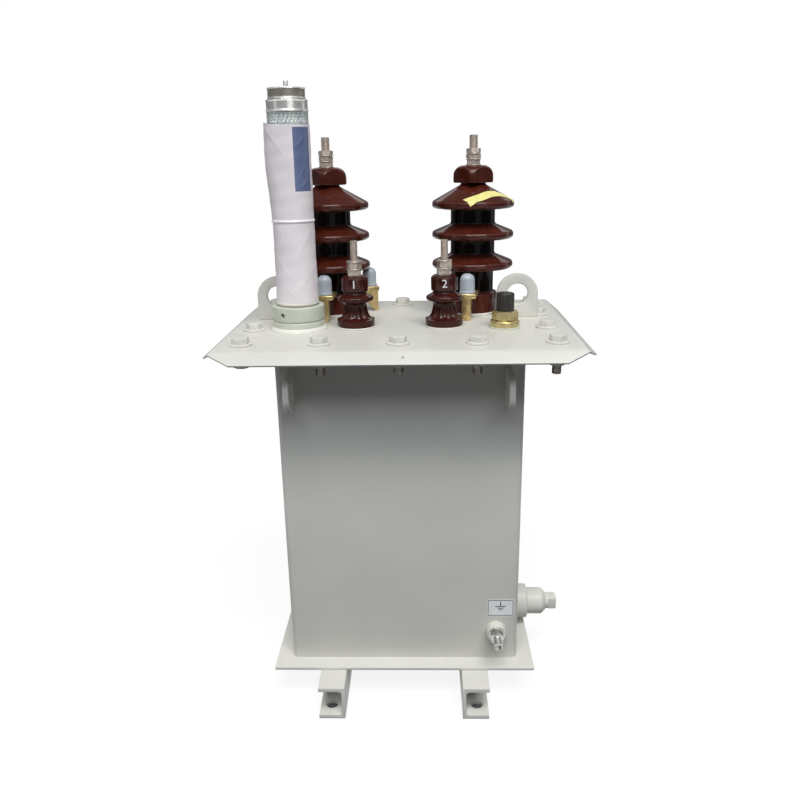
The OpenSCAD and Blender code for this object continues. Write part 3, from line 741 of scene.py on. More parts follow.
class TRANSFORMER_OT_lid_bolts(bpy.types.Operator):
    """Model one lid bolt and set fourteen of them around the lid"""
    bl_idname = "transformer.lid_bolts"
    bl_label = "Lid bolts"
    head_tall, nut_tall, washer_tall, under_radius = 7.8, 10, 2.5, 12
    # how far the threads reach below the rim: in turn along the lid, and at the short front left bolt
    reaches, short_reach = (22, 24, 23), 12

    def execute(self, context):
        size = sizes()
        lid_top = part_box("lid")[1].z
        rim_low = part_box("tank_rim")[0].z
        washer = disc("washer", size.bolt_washer / 2 / MM, self.washer_tall, ORIGIN, 0.6)
        hexed = hexagon("head", size.bolt_head / MM, self.head_tall, lift(ORIGIN, self.washer_tall), False)
        apply_modifier(hexed, "BEVEL", width=0.8 * MM, segments=3, limit_method="ANGLE",
                       angle_limit=math.radians(25))
        head = join("head", washer, hexed)
        under = disc("under", self.under_radius, self.washer_tall, ORIGIN, 0.4)
        hexed = hexagon("nut", size.bolt_head / MM, self.nut_tall, lift(ORIGIN, self.washer_tall))
        nut = join("nut", under, hexed)
        spots = [(i, j) for i in (-2, -1, 0, 1, 2) for j in (-1.5, -0.5, 0.5, 1.5)
                 if abs(i) == 2 or abs(j) == 1.5]
        heads, nuts, ends = [], [], []
        for k, (i, j) in enumerate(spots):
            # each bolt was left at a turn of its own
            turn = math.radians(k * 37 % 60)
            x, y = i * size.bolt_along, j * size.bolt_across
            heads.append(copied(head, "head", (x, y, lid_top), turn))
            nuts.append(copied(nut, "nut", (x, y, rim_low), turn))
            reach = self.reaches[k % 3] if k else self.short_reach
            ends.append(threaded("end", M12_RADIUS, M12_PITCH, reach, ORIGIN, 16))
            ends[-1].location = (x, y, rim_low)
            for hanging in (nuts[-1], ends[-1]):
                hanging.rotation_euler.x = math.pi
        bpy.data.objects.remove(head)
        bpy.data.objects.remove(nut)
        dress(paint(join("lid_bolt_heads", *heads), grey_enamel()), "grey_enamel")
        dress(paint(join("lid_bolt_nuts", *nuts), grey_enamel()), "grey_enamel")
        dress(paint(join("lid_bolt_threads", *ends), bolt_steel()), "zinc")
        return {"FINISHED"}


class TRANSFORMER_OT_hv_bushings(bpy.types.Operator):
    """Model the two high-voltage bushings: seat, porcelain with sheds, cap and terminal"""
    bl_idname = "transformer.hv_bushings"
    bl_label = "High-voltage bushings"
    # heights above the lid
    foot_radius, foot_top, leg_radius, core_radius = 36, 31, 30.5, 31.5
    shed_radius, rim_radius, slope_rise = 58, 4.8, 15.5
    first_rim, rim_pitch = 70.5, 42
    neck_radius, neck_top = 17, 184
    cap_radius, cap_side, cap_tall, crown_radius, cap_flat = 28, 9.5, 23.5, 14, 22
    cap_turn = math.radians(38)

    def execute(self, context):
        for side in SIDES:
            at, ring_span = seat("hv_seat_" + side), span("hv_seat_" + side)
            ring = disc("hv_ring_" + side, ring_span.x / 2, ring_span.z, at, 1, 96)
            dress(paint(ring, seat_rubber()), "white_seat", "hv_seat_" + side)
            porcelain = turned("hv_porcelain_" + side, self.porcelain(ring_span.z), at, 96)
            paint(porcelain, brown_glaze())
            # second finish: the almost black glaze on the upright core faces between the sheds, painted shade
            porcelain.data.materials.append(thick_glaze())
            for face in porcelain.data.polygons:
                inner = math.hypot(face.center.x, face.center.y) < (self.core_radius + 3) * MM
                upright = abs(face.normal.z) < 0.6 and face.center.z > (self.foot_top + 2) * MM
                top = face.center.z > (self.neck_top - 14) * MM
                face.material_index = 1 if inner and upright and not top else 0
            dress(porcelain, "brown_glaze", "hv_bushing_" + side)
            dress(paint(self.cap("hv_dome_" + side, at), brown_glaze()), "brown_glaze", "hv_cap_" + side)
            dress(paint(self.terminal("hv_stud_" + side, at), tinned_steel()), "tinned_steel",
                  "hv_terminal_" + side)
        return {"FINISHED"}

    def porcelain(self, start):
        """Outline of the porcelain from its foot up to its neck."""
        line = [(0, start, 0), (self.foot_radius, start, 0.8), (self.foot_radius, self.foot_top, 2),
                (self.leg_radius, self.foot_top, 3)]
        root = self.leg_radius
        for k in range(3):
            rim = self.first_rim + k * self.rim_pitch
            line += [(root, rim - self.rim_radius, 3),
                     (self.shed_radius, rim - self.rim_radius, self.rim_radius),
                     (self.shed_radius, rim + self.rim_radius, self.rim_radius)]
            root = self.core_radius
            if k < 2:
                line.append((root, rim + self.slope_rise, 5))
        line += [(self.neck_radius, self.neck_top - 2, 6), (self.neck_radius, self.neck_top, 0),
                 (0, self.neck_top, 0)]
        return rounded(line, 7)

    def cap(self, name, at):
        """Domed cap trimmed to four flats with arched upper edges."""
        arc = [math.radians(7.5 * k) for k in range(13)]
        dome = [(self.crown_radius + (self.cap_radius - self.crown_radius) * math.cos(a),
                 self.cap_side + (self.cap_tall - self.cap_side) * math.sin(a)) for a in arc]
        foot = rounded([(0, 0, 0), (self.cap_radius, 0, 1.5), (self.cap_radius, self.cap_side, 0)], 3)[:-1]
        base = lift(at, self.neck_top)
        cap = turned(name, foot + dome + [(0, self.cap_tall)], base, 96)
        for k in range(4):
            way = heading(self.cap_turn + k * math.pi / 2)
            edit(cap)
            bpy.ops.mesh.bisect(plane_co=base + way * self.cap_flat * MM, plane_no=way, use_fill=True,
                                clear_outer=True)
            leave_edit()
        close_up(cap)
        # fired porcelain has no sharp edge: an even skin, then smoothed
        apply_modifier(cap, "REMESH", mode="VOXEL", voxel_size=0.7 * MM)
        apply_modifier(cap, "SMOOTH", factor=0.5, iterations=8)
        return cap

    def terminal(self, name, at):
        """Threaded stud with three nuts, each on its washer."""
        washer_radius, washer_tall, across, nut_tall = 11, 1.2, 18, 6.4
        start = self.neck_top + self.cap_tall
        parts = [threaded(name, M12_RADIUS, M12_PITCH, span("hv_terminal_left").z, lift(at, start))]
        for k in range(3):
            foot = start + k * (washer_tall + nut_tall)
            parts.append(disc("washer", washer_radius, washer_tall, lift(at, foot)))
            nut = hexagon("nut", across, nut_tall, lift(at, foot + washer_tall))
            nut.rotation_euler.z = math.radians(20 * k)
            parts.append(nut)
        return join(name, *parts)


class TRANSFORMER_OT_claws(bpy.types.Operator):
    """Model the claws that hold the high-voltage bushings and the caps on their studs"""
    bl_idname = "transformer.claws"
    bl_label = "Claws and caps"
    # turns of the claws' studs about each bushing's axis, in degrees, and their distance from it
    turns, stud_out = {"left": (-93, 18, 110), "right": (-100, 135, 70)}, 58
    cap_tall, cap_radius, lip_tall = 27, 11, 3

    def execute(self, context):
        line = rounded([(0, 0, 0), (self.cap_radius, 0, 0.6), (self.cap_radius, self.lip_tall, 0.8),
                        (self.cap_radius - 0.7, self.lip_tall + 0.6, 0.5),
                        (self.cap_radius - 1, self.cap_tall, 8.5), (0, self.cap_tall, 0)], 7)
        for side in SIDES:
            claws = softened("hv_claws_" + side, "claw_set_" + side, 1.3 * MM)
            dress(paint(claws, yellow_zinc()), "yellow_zinc", "hv_claws_" + side)
            foot = seat("hv_seat_" + side)
            foot.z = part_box("claw_caps_" + side)[0].z
            places = [foot + heading(math.radians(turn)) * self.stud_out * MM for turn in self.turns[side]]
            caps = join("stud_caps_" + side, *[turned("cap", line, place, 40) for place in places])
            dress(paint(caps, cap_plastic()), "blue_grey_plastic", "claw_caps_" + side)
        return {"FINISHED"}


class TRANSFORMER_OT_lv_bushings(bpy.types.Operator):
    """Model the two low-voltage bushings with their flutes, numbers and terminals"""
    bl_idname = "transformer.lv_bushings"
    bl_label = "Low-voltage bushings"
    foot_radius, waist_radius, foot_tall, waist_rise, waist_top = 25.5, 15.2, 9, 20, 30.5
    shed_radius, shed_low, shed_high, neck_radius = 24.5, 34.8, 39.2, 15.5
    drum_radius, drum_low, drum_high = 18, 47.5, 67
    # flutes: how many, and their depth on the waist and on the shed
    flutes, waist_flute, shed_flute = 10, 2.6, 0.9

    def execute(self, context):
        arc = [math.radians(9 * k) for k in range(11)]
        flare = [(self.foot_radius - (self.foot_radius - self.waist_radius) * math.sin(a),
                  self.foot_tall + self.waist_rise * (1 - math.cos(a)), 0) for a in arc]
        line = rounded([(0, 0, 0), (self.foot_radius, 0, 0.8)] + flare + [
            (self.waist_radius, self.waist_top, 1), (self.shed_radius, self.shed_low, 2.2),
            (self.shed_radius, self.shed_high, 2.2), (self.neck_radius, self.drum_low - 3.5, 2.5),
            (self.neck_radius, self.drum_low - 1, 0.8), (self.drum_radius, self.drum_low, 0.6),
            (self.drum_radius, self.drum_high - 3, 1.5), (self.drum_radius - 3, self.drum_high, 1),
            (0, self.drum_high, 0)], 6)
        for number, side in enumerate(SIDES, 1):
            at, ring_span = seat("lv_seat_" + side), span("lv_seat_" + side)
            ring = disc("lv_ring_" + side, ring_span.x / 2, ring_span.z, at, 0.8, 80)
            dress(paint(ring, seat_rubber()), "white_seat", "lv_seat_" + side)
            base = lift(at, ring_span.z)
            porcelain = turned("lv_porcelain_" + side, line, base, 96)
            fluted(porcelain, self.flutes, self.waist_flute, self.foot_tall, 31, 4)
            fluted(porcelain, self.flutes, self.shed_flute, 33, 43, 3)
            dress(paint(porcelain, dark_glaze()), "brown_glaze", "lv_bushing_" + side)
            dress(paint(self.numeral(number, side, base), label_vinyl()), "white_seat")
            dress(paint(self.terminal("lv_stud_" + side, at), tinned_steel()), "tinned_steel",
                  "lv_terminal_" + side)
        return {"FINISHED"}

    def numeral(self, number, side, base):
        """A painted number wrapped around the front of the drum."""
        # height of a numeral as a share of the font's size, half the paint's thickness and its stand-off
        figure, paint_half, stand_off = 0.72, 0.15 * MM, 0.1 * MM
        text = fresh("lv_number_" + side, bpy.ops.object.text_add)
        text.data.body = str(number)
        text.data.align_x = "CENTER"
        text.data.align_y = "CENTER"
        text.data.size = sizes().numeral / figure
        text.data.extrude = paint_half
        bpy.ops.object.convert(target="MESH")
        # cut into upright strips, so that every stroke bends with the drum
        for k in range(-5, 6):
            edit(text)
            bpy.ops.mesh.bisect(plane_co=(k * MM, 0, 0), plane_no=(1, 0, 0))
            leave_edit()
        radius = self.drum_radius * MM
        middle = (self.drum_low + self.drum_high) / 2 * MM
        for vertex in text.data.vertices:
            angle = vertex.co.x / radius - math.pi / 2
            reach = radius + vertex.co.z + stand_off
            vertex.co = (reach * math.cos(angle), reach * math.sin(angle), vertex.co.y + middle)
        text.location = base
        return text

    def terminal(self, name, at):
        """Threaded stud with two nuts and washers."""
        start = (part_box("lv_terminal_left")[0].z - at.z) / MM
        stud_radius, stud_pitch = 5, 1.5
        across, nut_tall, washer_radius, washer_tall = 17, 8.5, 10.5, 1.6
        parts = [threaded(name, stud_radius, stud_pitch, span("lv_terminal_left").z, lift(at, start))]
        for k in range(2):
            foot = start + k * (nut_tall + washer_tall)
            nut = hexagon("nut", across, nut_tall, lift(at, foot))
            nut.rotation_euler.z = math.radians(25 * k)
            parts += [nut, disc("washer", washer_radius, washer_tall, lift(at, foot + nut_tall))]
        return join(name, *parts)


class TRANSFORMER_OT_breather(bpy.types.Operator):
    """Model the breather: rings, clear tube with granules, collar and knurled knob"""
    bl_idname = "transformer.breather"
    bl_label = "Breather"
    # radii, and heights above the lid
    ring_radius, groove_radius, groove, joint, ring_top = 35, 33.5, 13, 14.5, 33.5
    tube_radius, wall, socket_radius, socket_floor = 26, 3, 26.1, 27.5
    # collar and knob, heights above the tube
    lip_radius, band_radius, rim_radius, collar_tall = 26.5, 25.8, 26.2, 14
    knob_radius, knurl_radius, knurl_low, knurl_high, knob_tall = 23.9, 23.2, 3, 12.1, 14
    pin_radius, pin_bore, pin_top, pin_floor = 3, 1.8, 22.5, 18

    def execute(self, context):
        at = seat("breather_base")
        base = turned("breather_lower_ring", rounded([
            (0, 0, 0), (self.ring_radius, 0, 0.5), (self.ring_radius, self.groove, 1.4),
            (self.groove_radius, self.groove, 0.3), (self.groove_radius, self.joint, 0),
            (0, self.joint, 0)], 4), at, 96)
        dress(paint(base, ring_enamel()), "ring_enamel", "breather_base")
        ring = turned("breather_upper_ring", rounded([
            (0, self.joint, 0), (self.ring_radius, self.joint, 1.4), (self.ring_radius, self.ring_top, 1.4),
            (self.socket_radius, self.ring_top, 0.5), (self.socket_radius, self.socket_floor, 0),
            (0, self.socket_floor, 0)], 4), at, 96)
        self.drill(ring, at)
        dress(paint(ring, ring_enamel()), "ring_enamel", "breather_ring")
        foot = Vector((at.x, at.y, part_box("breather_tube")[0].z))
        tall, bore = span("breather_tube").z, self.tube_radius - self.wall
        tube = turned("breather_glass", [(bore, 0), (self.tube_radius, 0), (self.tube_radius, tall),
                                         (bore, tall), (bore, 0)], foot, 96)
        tube.visible_shadow = False
        dress(paint(tube, clear_acrylic()), "clear_tube", "breather_tube")
        dress(paint(self.granules(foot, tall, bore), silica_gel()), "gel", "breather_gel", angle=80)
        collar_foot = Vector((at.x, at.y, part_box("breather_tube")[1].z))
        collar = turned("breather_band", rounded([
            (0, 0, 0), (self.lip_radius, 0, 0.5), (self.lip_radius, 1.6, 0.6), (self.band_radius, 2.4, 0.5),
            (self.band_radius, self.collar_tall - 2, 0.6), (self.rim_radius, self.collar_tall - 1, 0.4),
            (self.rim_radius, self.collar_tall, 0.4), (0, self.collar_tall, 0)], 3), collar_foot, 96)
        dress(paint(collar, spun_aluminium()), "spun_aluminium", "breather_collar")
        self.knob(lift(collar_foot, self.collar_tall))
        self.sealant(at)
        return {"FINISHED"}

    def sealant(self, at):
        """White beads around the breather's foot and the tube's foot, the upper one over a shadow gap."""
        inside, bead_radius, bead_tall = self.ring_radius - 0.5, 39, 5.5
        bead = turned("breather_sealant", rounded([
            (inside, 0, 0), (bead_radius, 0, 0.3), (bead_radius - 1.5, 3, 2),
            (self.ring_radius + 0.4, bead_tall, 0.3), (inside, bead_tall, 0), (inside, 0, 0)], 4), at, 96)
        gap_radius, gap_top, gland_radius, gland_top = 26.4, 35.5, 28.6, 38.4
        gland = turned("gland", rounded([
            (self.socket_radius, self.ring_top, 0), (gap_radius, self.ring_top, 0), (gap_radius, gap_top, 0),
            (gland_radius, gap_top, 0.3), (gland_radius, gland_top, 0.8), (self.socket_radius, gland_top, 0),
            (self.socket_radius, self.ring_top, 0)], 3), at, 96)
        dress(paint(join("breather_sealant", bead, gland), seat_rubber()), "white_seat")

    def drill(self, ring, at):
        """Bore the set-screw hole into the upper ring's side."""
        turn, height, radius, deep = math.radians(-118), 23.5, 3.4, 7
        drill = disc("drill", radius, 2 * deep, ORIGIN, 0.1, 24)
        way = heading(turn)
        drill.rotation_euler = way.to_track_quat("Z", "Y").to_euler()
        drill.location = lift(at, height) + way * (self.ring_radius - deep) * MM
        bpy.context.view_layer.update()
        cut(ring, drill, "DIFFERENCE")

    def granules(self, foot, tall, bore):
        """Core of the filling with loose granules heaped over it, where the tube shows."""
        bead = sizes().bead / MM
        # height of tube that shows, gap around the core, and rings of granules in a layer
        shown, gap, rings = 26, 0.5, 4
        top = tall - shown
        core = turned("breather_granules", rounded([
            (0, gap, 0), (bore - gap, gap, 1), (bore - gap, top, 2), (0, top, 0)], 3), foot, 48)
        pattern = fresh("bead", bpy.ops.mesh.primitive_ico_sphere_add, subdivisions=2, radius=bead / 2 * MM)
        edit(pattern)
        bpy.ops.transform.vertex_random(offset=bead / 14 * MM, seed=3)
        leave_edit()
        beads = [core]
        layer, height = 0, top + bead / 2
        while height < tall - bead / 2 + 0.4:
            for k in range(rings):
                reach = bore - bead / 2 - 0.2 - k * bead * 0.98
                count = max(1, int(math.tau * reach / (bead * 1.06)))
                for n in range(count):
                    angle = math.tau * n / count + layer * 1.7 + k
                    wobble = 0.5 * math.sin(12.9 * n + 4.1 * layer + k)
                    place = lift(foot, height + wobble) + heading(angle) * reach * MM
                    beads.append(copied(pattern, "bead", place, angle * 5))
            height += bead * 0.86
            layer += 1
        bpy.data.objects.remove(pattern)
        return join("breather_granules", *beads)

    def knob(self, foot):
        """Knurled knob on a short neck, with a hollow pin on top."""
        neck_radius, neck_tall, flutes, flute_depth = 17, 1, 64, 0.5
        line = rounded([
            (0, 0, 0), (neck_radius, 0, 0), (neck_radius, neck_tall, 0), (self.knob_radius, neck_tall, 0.5),
            (self.knob_radius, 2.8, 0.3), (self.knurl_radius, 3.1, 0), (self.knurl_radius, 12, 0),
            (self.knob_radius, 12.3, 0.3), (self.knob_radius, self.knob_tall, 0.6),
            (self.pin_radius, self.knob_tall, 0), (self.pin_radius, self.pin_top, 0.3),
            (self.pin_bore, self.pin_top, 0.2), (self.pin_bore, self.pin_floor, 0),
            (0, self.pin_floor, 0)], 3)
        knob = turned("breather_knob_top", line, foot, 256)
        fluted(knob, flutes, flute_depth, self.knurl_low, self.knurl_high, 0.4)
        paint(knob, spun_aluminium())
        knob.data.materials.append(dark_knurl())
        for face in knob.data.polygons:
            outside = math.hypot(face.center.x, face.center.y) > 20 * MM
            band = self.knurl_low * MM < face.center.z < self.knurl_high * MM
            face.material_index = 1 if band and outside else 0
        dress(knob, "dark_knurl", "breather_knob")


class TRANSFORMER_OT_film(bpy.types.Operator):
    """Wrap the white film with its blue field around the breather's tube"""
    bl_idname = "transformer.film"
    bl_label = "Film"
    # radius, and heights above the lid of the foot, the taped band and the top
    radius, low, band, high = 26.5, 38.6, 143.6, 261
    # the wrap in degrees: where it starts, its step and how many of them, a little over one turn
    start, step, count = -320, 3, 127
    field_angles, field_heights = (-71, -17), (181, 258)
    # how far the overlap, the lip at the band and the foot stand out, and how they fade along the height
    overlap_out, lip_out, lip_fade, foot_out, foot_fade = 0.35, 1.2, 1.4, 1.1, 45
    # the loose stretch above the band: middle and spread in degrees, and height
    slack_turn, slack_spread, slack_tall = 180, 42, 170
    thick = 0.25
    # creases: angle and height of the middle, millimetres of rise for a degree, depth, width and spread
    creases = ((-135, 248, -0.6, 0.7, 2.0, 22), (-110, 236, -0.9, 0.4, 2.5, 16),
               (-48, 204, 0.8, 1.3, 1.3, 12),
               (-42, 222, -0.8, 1.2, 1.3, 10), (-52, 240, 0.4, 1.0, 1.4, 14), (-42, 190, 0.3, 1.1, 1.3, 14),
               (-45, 122, 0.7, 0.5, 2.5, 20), (-75, 100, 0.9, 0.4, 2.5, 18), (-115, 84, -0.7, 0.5, 2.2, 20),
               (-60, 66, 0.5, 0.4, 2.5, 24), (-125, 160, 0.8, 0.5, 2.5, 22), (-30, 160, -0.6, 0.5, 2.0, 20),
               (-95, 52, -0.5, 0.4, 2.0, 24))

    def execute(self, context):
        at = seat("breather_base")
        below, above = self.field_heights
        # rows of points: close together at the band and over the printed field
        heights = [self.low + (self.band - 3 - self.low) * k / 60 for k in range(60)]
        heights += [self.band - 3 + 0.5 * k for k in range(13)]
        heights += [self.band + 3 + (below - self.band - 3) * k / 20 for k in range(1, 20)]
        heights += [below + (above - below) * k / 45 for k in range(46)] + [self.high - 1.5, self.high]
        angles = [self.start + self.step * k for k in range(self.count + 1)]
        film = sheeted("breather_film", [[self.point(at, angle, height) for angle in angles]
                                         for height in heights])
        paint(film, white_film())
        film.data.materials.append(blue_print())
        for face in film.data.polygons:
            r, c = divmod(face.index, self.count)
            angle, height = angles[c] + self.step / 2, (heights[r] + heights[r + 1]) / 2
            inside = self.field_angles[0] < angle < self.field_angles[1] and below < height < above
            face.material_index = 1 if inside else 0
        apply_modifier(film, "SOLIDIFY", thickness=self.thick * MM, offset=1)
        dress(film, "clear_tube", angle=60)
        return {"FINISHED"}

    def point(self, at, angle, height):
        """A point of the film: one and a bit turns, a lip at the band, slack at the left, a wider foot."""
        turn = math.radians(angle)
        along = (angle - self.start) / 360
        reach = self.radius + self.overlap_out * along
        reach += self.lip_out * math.exp(-((height - self.band) / self.lip_fade) ** 2)
        reach += self.foot_out * math.exp(-((height - self.low) / self.foot_fade) ** 2)
        loose = math.sin(math.pi * max(0.0, height - self.band) / self.slack_tall)
        aside = math.exp(-(((angle % 360) - self.slack_turn) / self.slack_spread) ** 2)
        reach += sizes().film_slack / MM * aside * loose ** 1.3
        # two faint ripples
        reach += 0.16 * math.sin(0.11 * height + 3 * turn) + 0.1 * math.sin(0.31 * height - 2 * turn)
        for middle, level, rise, deep, wide, spread in self.creases:
            off = (angle - middle + 180) % 360 - 180
            reach += deep * math.exp(-((height - level - rise * off) / wide) ** 2 - (off / spread) ** 2)
        edge = {self.low: 0.6 * math.sin(turn + 0.6), self.high: 3.5 * aside}.get(height, 0)
        return lift(at, height + edge) + heading(turn) * reach * MM


class TRANSFORMER_OT_filler(bpy.types.Operator):
    """Model the filler plug: washer, brass base with hexagon, black fluted cap"""
    bl_idname = "transformer.filler"
    bl_label = "Filler plug"
    washer_radius, washer_tall = 21.5, 2
    base_radius, base_top, base_shoulder = 19.5, 10.5, 9.5
    nut_across, nut_tall, nut_turn = 31, 12, math.radians(15)
    cap_radius, cap_top, flutes, flute_depth, flute_low = 12, 46.5, 20, 0.9, 26

    def execute(self, context):
        at = seat("filler_washer")
        washer = disc("filler_ring", self.washer_radius, self.washer_tall, at, 0.6, 72)
        dress(paint(washer, ring_enamel()), "grey_enamel", "filler_washer")
        base = turned("filler_fitting", rounded([
            (0, self.washer_tall, 0), (self.base_radius, self.washer_tall, 0.6),
            (self.base_radius, self.base_shoulder, 1.4), (self.nut_across / 2 + 0.5, self.base_top, 0),
            (0, self.base_top, 0)], 4), at, 80)
        nut = hexagon("nut", self.nut_across, self.nut_tall, lift(at, self.base_top))
        nut.rotation_euler.z = self.nut_turn
        dress(paint(join("filler_fitting", base, nut), brass()), "brass", "filler_base")
        cap_low = self.base_top + self.nut_tall
        # rows up the side, for the flutes to fade in on
        side = [(self.cap_radius, height, 0) for height in (27, 30, 36, 42)]
        cap = turned("filler_top", rounded([
            (0, cap_low, 0), (self.cap_radius, cap_low, 0.5), *side, (self.cap_radius, self.cap_top, 2.5),
            (0, self.cap_top, 0)], 5), at, 160)
        fluted(cap, self.flutes, self.flute_depth, self.flute_low, self.cap_top + 0.5, 3)
        dress(paint(cap, black_plastic()), "black_plastic", "filler_cap")
        return {"FINISHED"}


class TRANSFORMER_OT_earth(bpy.types.Operator):
    """Model the earth terminal on the front wall and the label above it"""
    bl_idname = "transformer.earth"
    bl_label = "Earth terminal"
    boss_radius, boss_tall = 14, 12
    washer_radius, washer_tall, nut_across, nut_tall = 12, 2.5, 18, 9
    # the label's middle beside and above the stud, its slight tilt, and its border's outer and inner set-back
    label_right, label_up, label_tilt, border_out, border_in = 6, 36.2, math.radians(-0.6), 3, 5
    # the earth sign: a stem on three bars, each shorter than the one above; height, width and depth
    sign = ((7, 1.3, 7.5), (2.6, 15, 1.3), (-0.2, 9.5, 1.3), (-3, 4.5, 1.3))

    def execute(self, context):
        low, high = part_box("earth_boss")
        wall = Vector(((low.x + high.x) / 2, high.y, (low.z + high.z) / 2))
        boss = turned("earth_stub", rounded([
            (0, 0, 0), (self.boss_radius, 0, 0), (self.boss_radius, self.boss_tall, 2),
            (0, self.boss_tall, 0)], 5), ORIGIN, 64)
        reach = (low.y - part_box("earth_terminal")[0].y) / MM
        foot = lift(ORIGIN, self.boss_tall)
        stud = join("earth_stud_set", threaded("earth_stud", M12_RADIUS, M12_PITCH, reach, foot),
                    disc("washer", self.washer_radius, self.washer_tall, foot, 0.5),
                    hexagon("nut", self.nut_across, self.nut_tall, lift(foot, self.washer_tall)))
        for piece in (boss, stud):
            settle(piece)
            piece.rotation_euler.x = math.pi / 2
            piece.location = wall
        dress(paint(boss, grey_enamel()), "grey_enamel", "earth_boss")
        dress(paint(stud, zinc_plate()), "zinc", "earth_terminal")
        self.label(wall)
        return {"FINISHED"}

    def label(self, wall):
        """White label with a black border and the earth sign, stuck on the wall."""
        wide, tall = sizes().label_width, sizes().label_height
        outer, inner = self.border_out * MM, self.border_in * MM
        marks = [self.plate("label", wide, tall, 0.15, 2.5 * MM, label_vinyl()),
                 self.plate("border", wide - outer, tall - outer, 0.2, 2 * MM, print_ink()),
                 self.plate("field", wide - inner, tall - inner, 0.25, 1.2 * MM, label_vinyl())]
        for height, across, deep in self.sign:
            bar = self.plate("bar", across * MM, deep * MM, 0.3, 0.1 * MM, print_ink())
            bar.location.y += height * MM
            marks.append(bar)
        label = join("earth_label", *marks)
        settle(label)
        label.rotation_euler = (math.pi / 2, self.label_tilt, 0)
        label.location = lift(wall, self.label_up) + Vector((self.label_right * MM, 0, 0))
        dress(label, "white_seat")

    def plate(self, name, wide, tall, thick, corner, material):
        """A thin plate with round corners lying on the floor of its own frame."""
        piece = fresh(name, bpy.ops.mesh.primitive_plane_add, size=1)
        piece.scale = (wide, tall, 1)
        settle(piece)
        edit(piece)
        bpy.ops.mesh.bevel(offset=corner, segments=5, affect="VERTICES")
        bpy.ops.mesh.select_all(action="SELECT")
        bpy.ops.mesh.extrude_region_move(TRANSFORM_OT_translate={"value": (0, 0, thick * MM)})
        leave_edit()
        close_up(piece)
        return paint(piece, material)


class TRANSFORMER_OT_drain(bpy.types.Operator):
    """Model the drain on the right wall: collar, body and square plug"""
    bl_idname = "transformer.drain"
    bl_label = "Drain"
    # radii, and distances from the wall
    collar_radius, collar_end = 26, 25
    body_radius, body_shoulder, mouth_radius, body_end = 20, 48, 13, 55
    neck_radius, neck_end, plug_across, plug_start, plug_deep = 12, 58.5, 19, 58, 13

    def execute(self, context):
        low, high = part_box("drain_collar")
        wall = Vector((low.x, (low.y + high.y) / 2, (low.z + high.z) / 2))
        collar = turned("drain_boss", rounded([
            (0, 0, 0), (self.collar_radius, 0, 0), (self.collar_radius, self.collar_end, 3),
            (0, self.collar_end, 0)], 5), ORIGIN, 64)
        body = turned("drain_spout", rounded([
            (0, self.collar_end, 0), (self.body_radius, self.collar_end, 0),
            (self.body_radius, self.body_shoulder, 4), (self.mouth_radius, self.body_end, 2),
            (0, self.body_end, 0)], 5), ORIGIN, 64)
        neck = turned("neck", [(0, self.body_end), (self.neck_radius, self.body_end),
                               (self.neck_radius, self.neck_end), (0, self.neck_end)], ORIGIN, 48)
        square = fresh("square", bpy.ops.mesh.primitive_cube_add, size=1,
                       location=lift(ORIGIN, self.plug_start + self.plug_deep / 2))
        square.scale = (self.plug_across * MM, self.plug_across * MM, self.plug_deep * MM)
        settle(square)
        apply_modifier(square, "BEVEL", width=1.8 * MM, segments=3)
        plug = join("drain_stopper", neck, square)
        for piece, node in ((collar, "drain_collar"), (body, "drain_body"), (plug, "drain_plug")):
            piece.rotation_euler.y = math.pi / 2
            piece.location = wall
            dress(paint(piece, grey_enamel()), "grey_enamel", node)
        return {"FINISHED"}


class TRANSFORMER_OT_tape(bpy.types.Operator):
    """Lay the strip of yellow tape over the right bushing's top shed"""
    bl_idname = "transformer.tape"
    bl_label = "Tape"
    # upper and lower edge of the strip in plan: radius and angle about the bushing's axis
    upper = ((52, -109), (41.5, -86), (34.5, -55), (40, -26), (57.8, -11))
    lower = ((59.6, -97), (54, -80), (46.5, -56), (50, -29), (58.2, -22))
    thick, stand_off = 0.3, 0.35
    # the shed under it: end of the cone and its height and slope, then the drop over the round rim
    cone_radius, cone_height, cone_slope, rim_radius, rim_drop = 55.6, 160.65, 23.7 / 41, 58.1, 4.2
    # fall of the loose end for each millimetre past the rim
    hang = 1.6

    def execute(self, context):
        at = seat("hv_seat_right")
        steps, lanes = 48, 8
        rows = []
        for k in range(steps + 1):
            inner, outer = self.along(self.upper, k / steps), self.along(self.lower, k / steps)
            rows.append([self.laid(at, inner.lerp(outer, c / lanes)) for c in range(lanes + 1)])
        tape = sheeted("phase_tape", rows)
        apply_modifier(tape, "SOLIDIFY", thickness=self.thick * MM, offset=1)
        dress(paint(tape, yellow_tape()), "yellow_zinc", angle=60)
        return {"FINISHED"}

    def along(self, edge, share):
        """Place in plan at a share of an edge's length: a smooth curve through its points."""
        spots = [Vector((r * math.cos(math.radians(a)), r * math.sin(math.radians(a)))) for r, a in edge]
        last = len(spots) - 1
        k = min(int(share * last), last - 1)
        t = share * last - k
        before, start, end, after = spots[max(k - 1, 0)], spots[k], spots[k + 1], spots[min(k + 2, last)]
        return (2 * start + (end - before) * t + (2 * before - 5 * start + 4 * end - after) * t ** 2
                + (3 * start - before - 3 * end + after) * t ** 3) / 2

    def laid(self, at, plan):
        """The point over a place in plan, on the top shed or hanging over its rim."""
        reach = plan.length
        if reach < self.cone_radius:
            height = self.cone_height + (self.cone_radius - reach) * self.cone_slope
        elif reach < self.rim_radius:
            share = (reach - self.cone_radius) / (self.rim_radius - self.cone_radius)
            height = self.cone_height - self.rim_drop * share ** 2
        else:
            height = self.cone_height - self.rim_drop - self.hang * (reach - self.rim_radius)
        spot = plan.normalized() * min(reach, self.rim_radius) * MM
        return lift(at, height + self.stand_off) + Vector((spot.x, spot.y, 0))


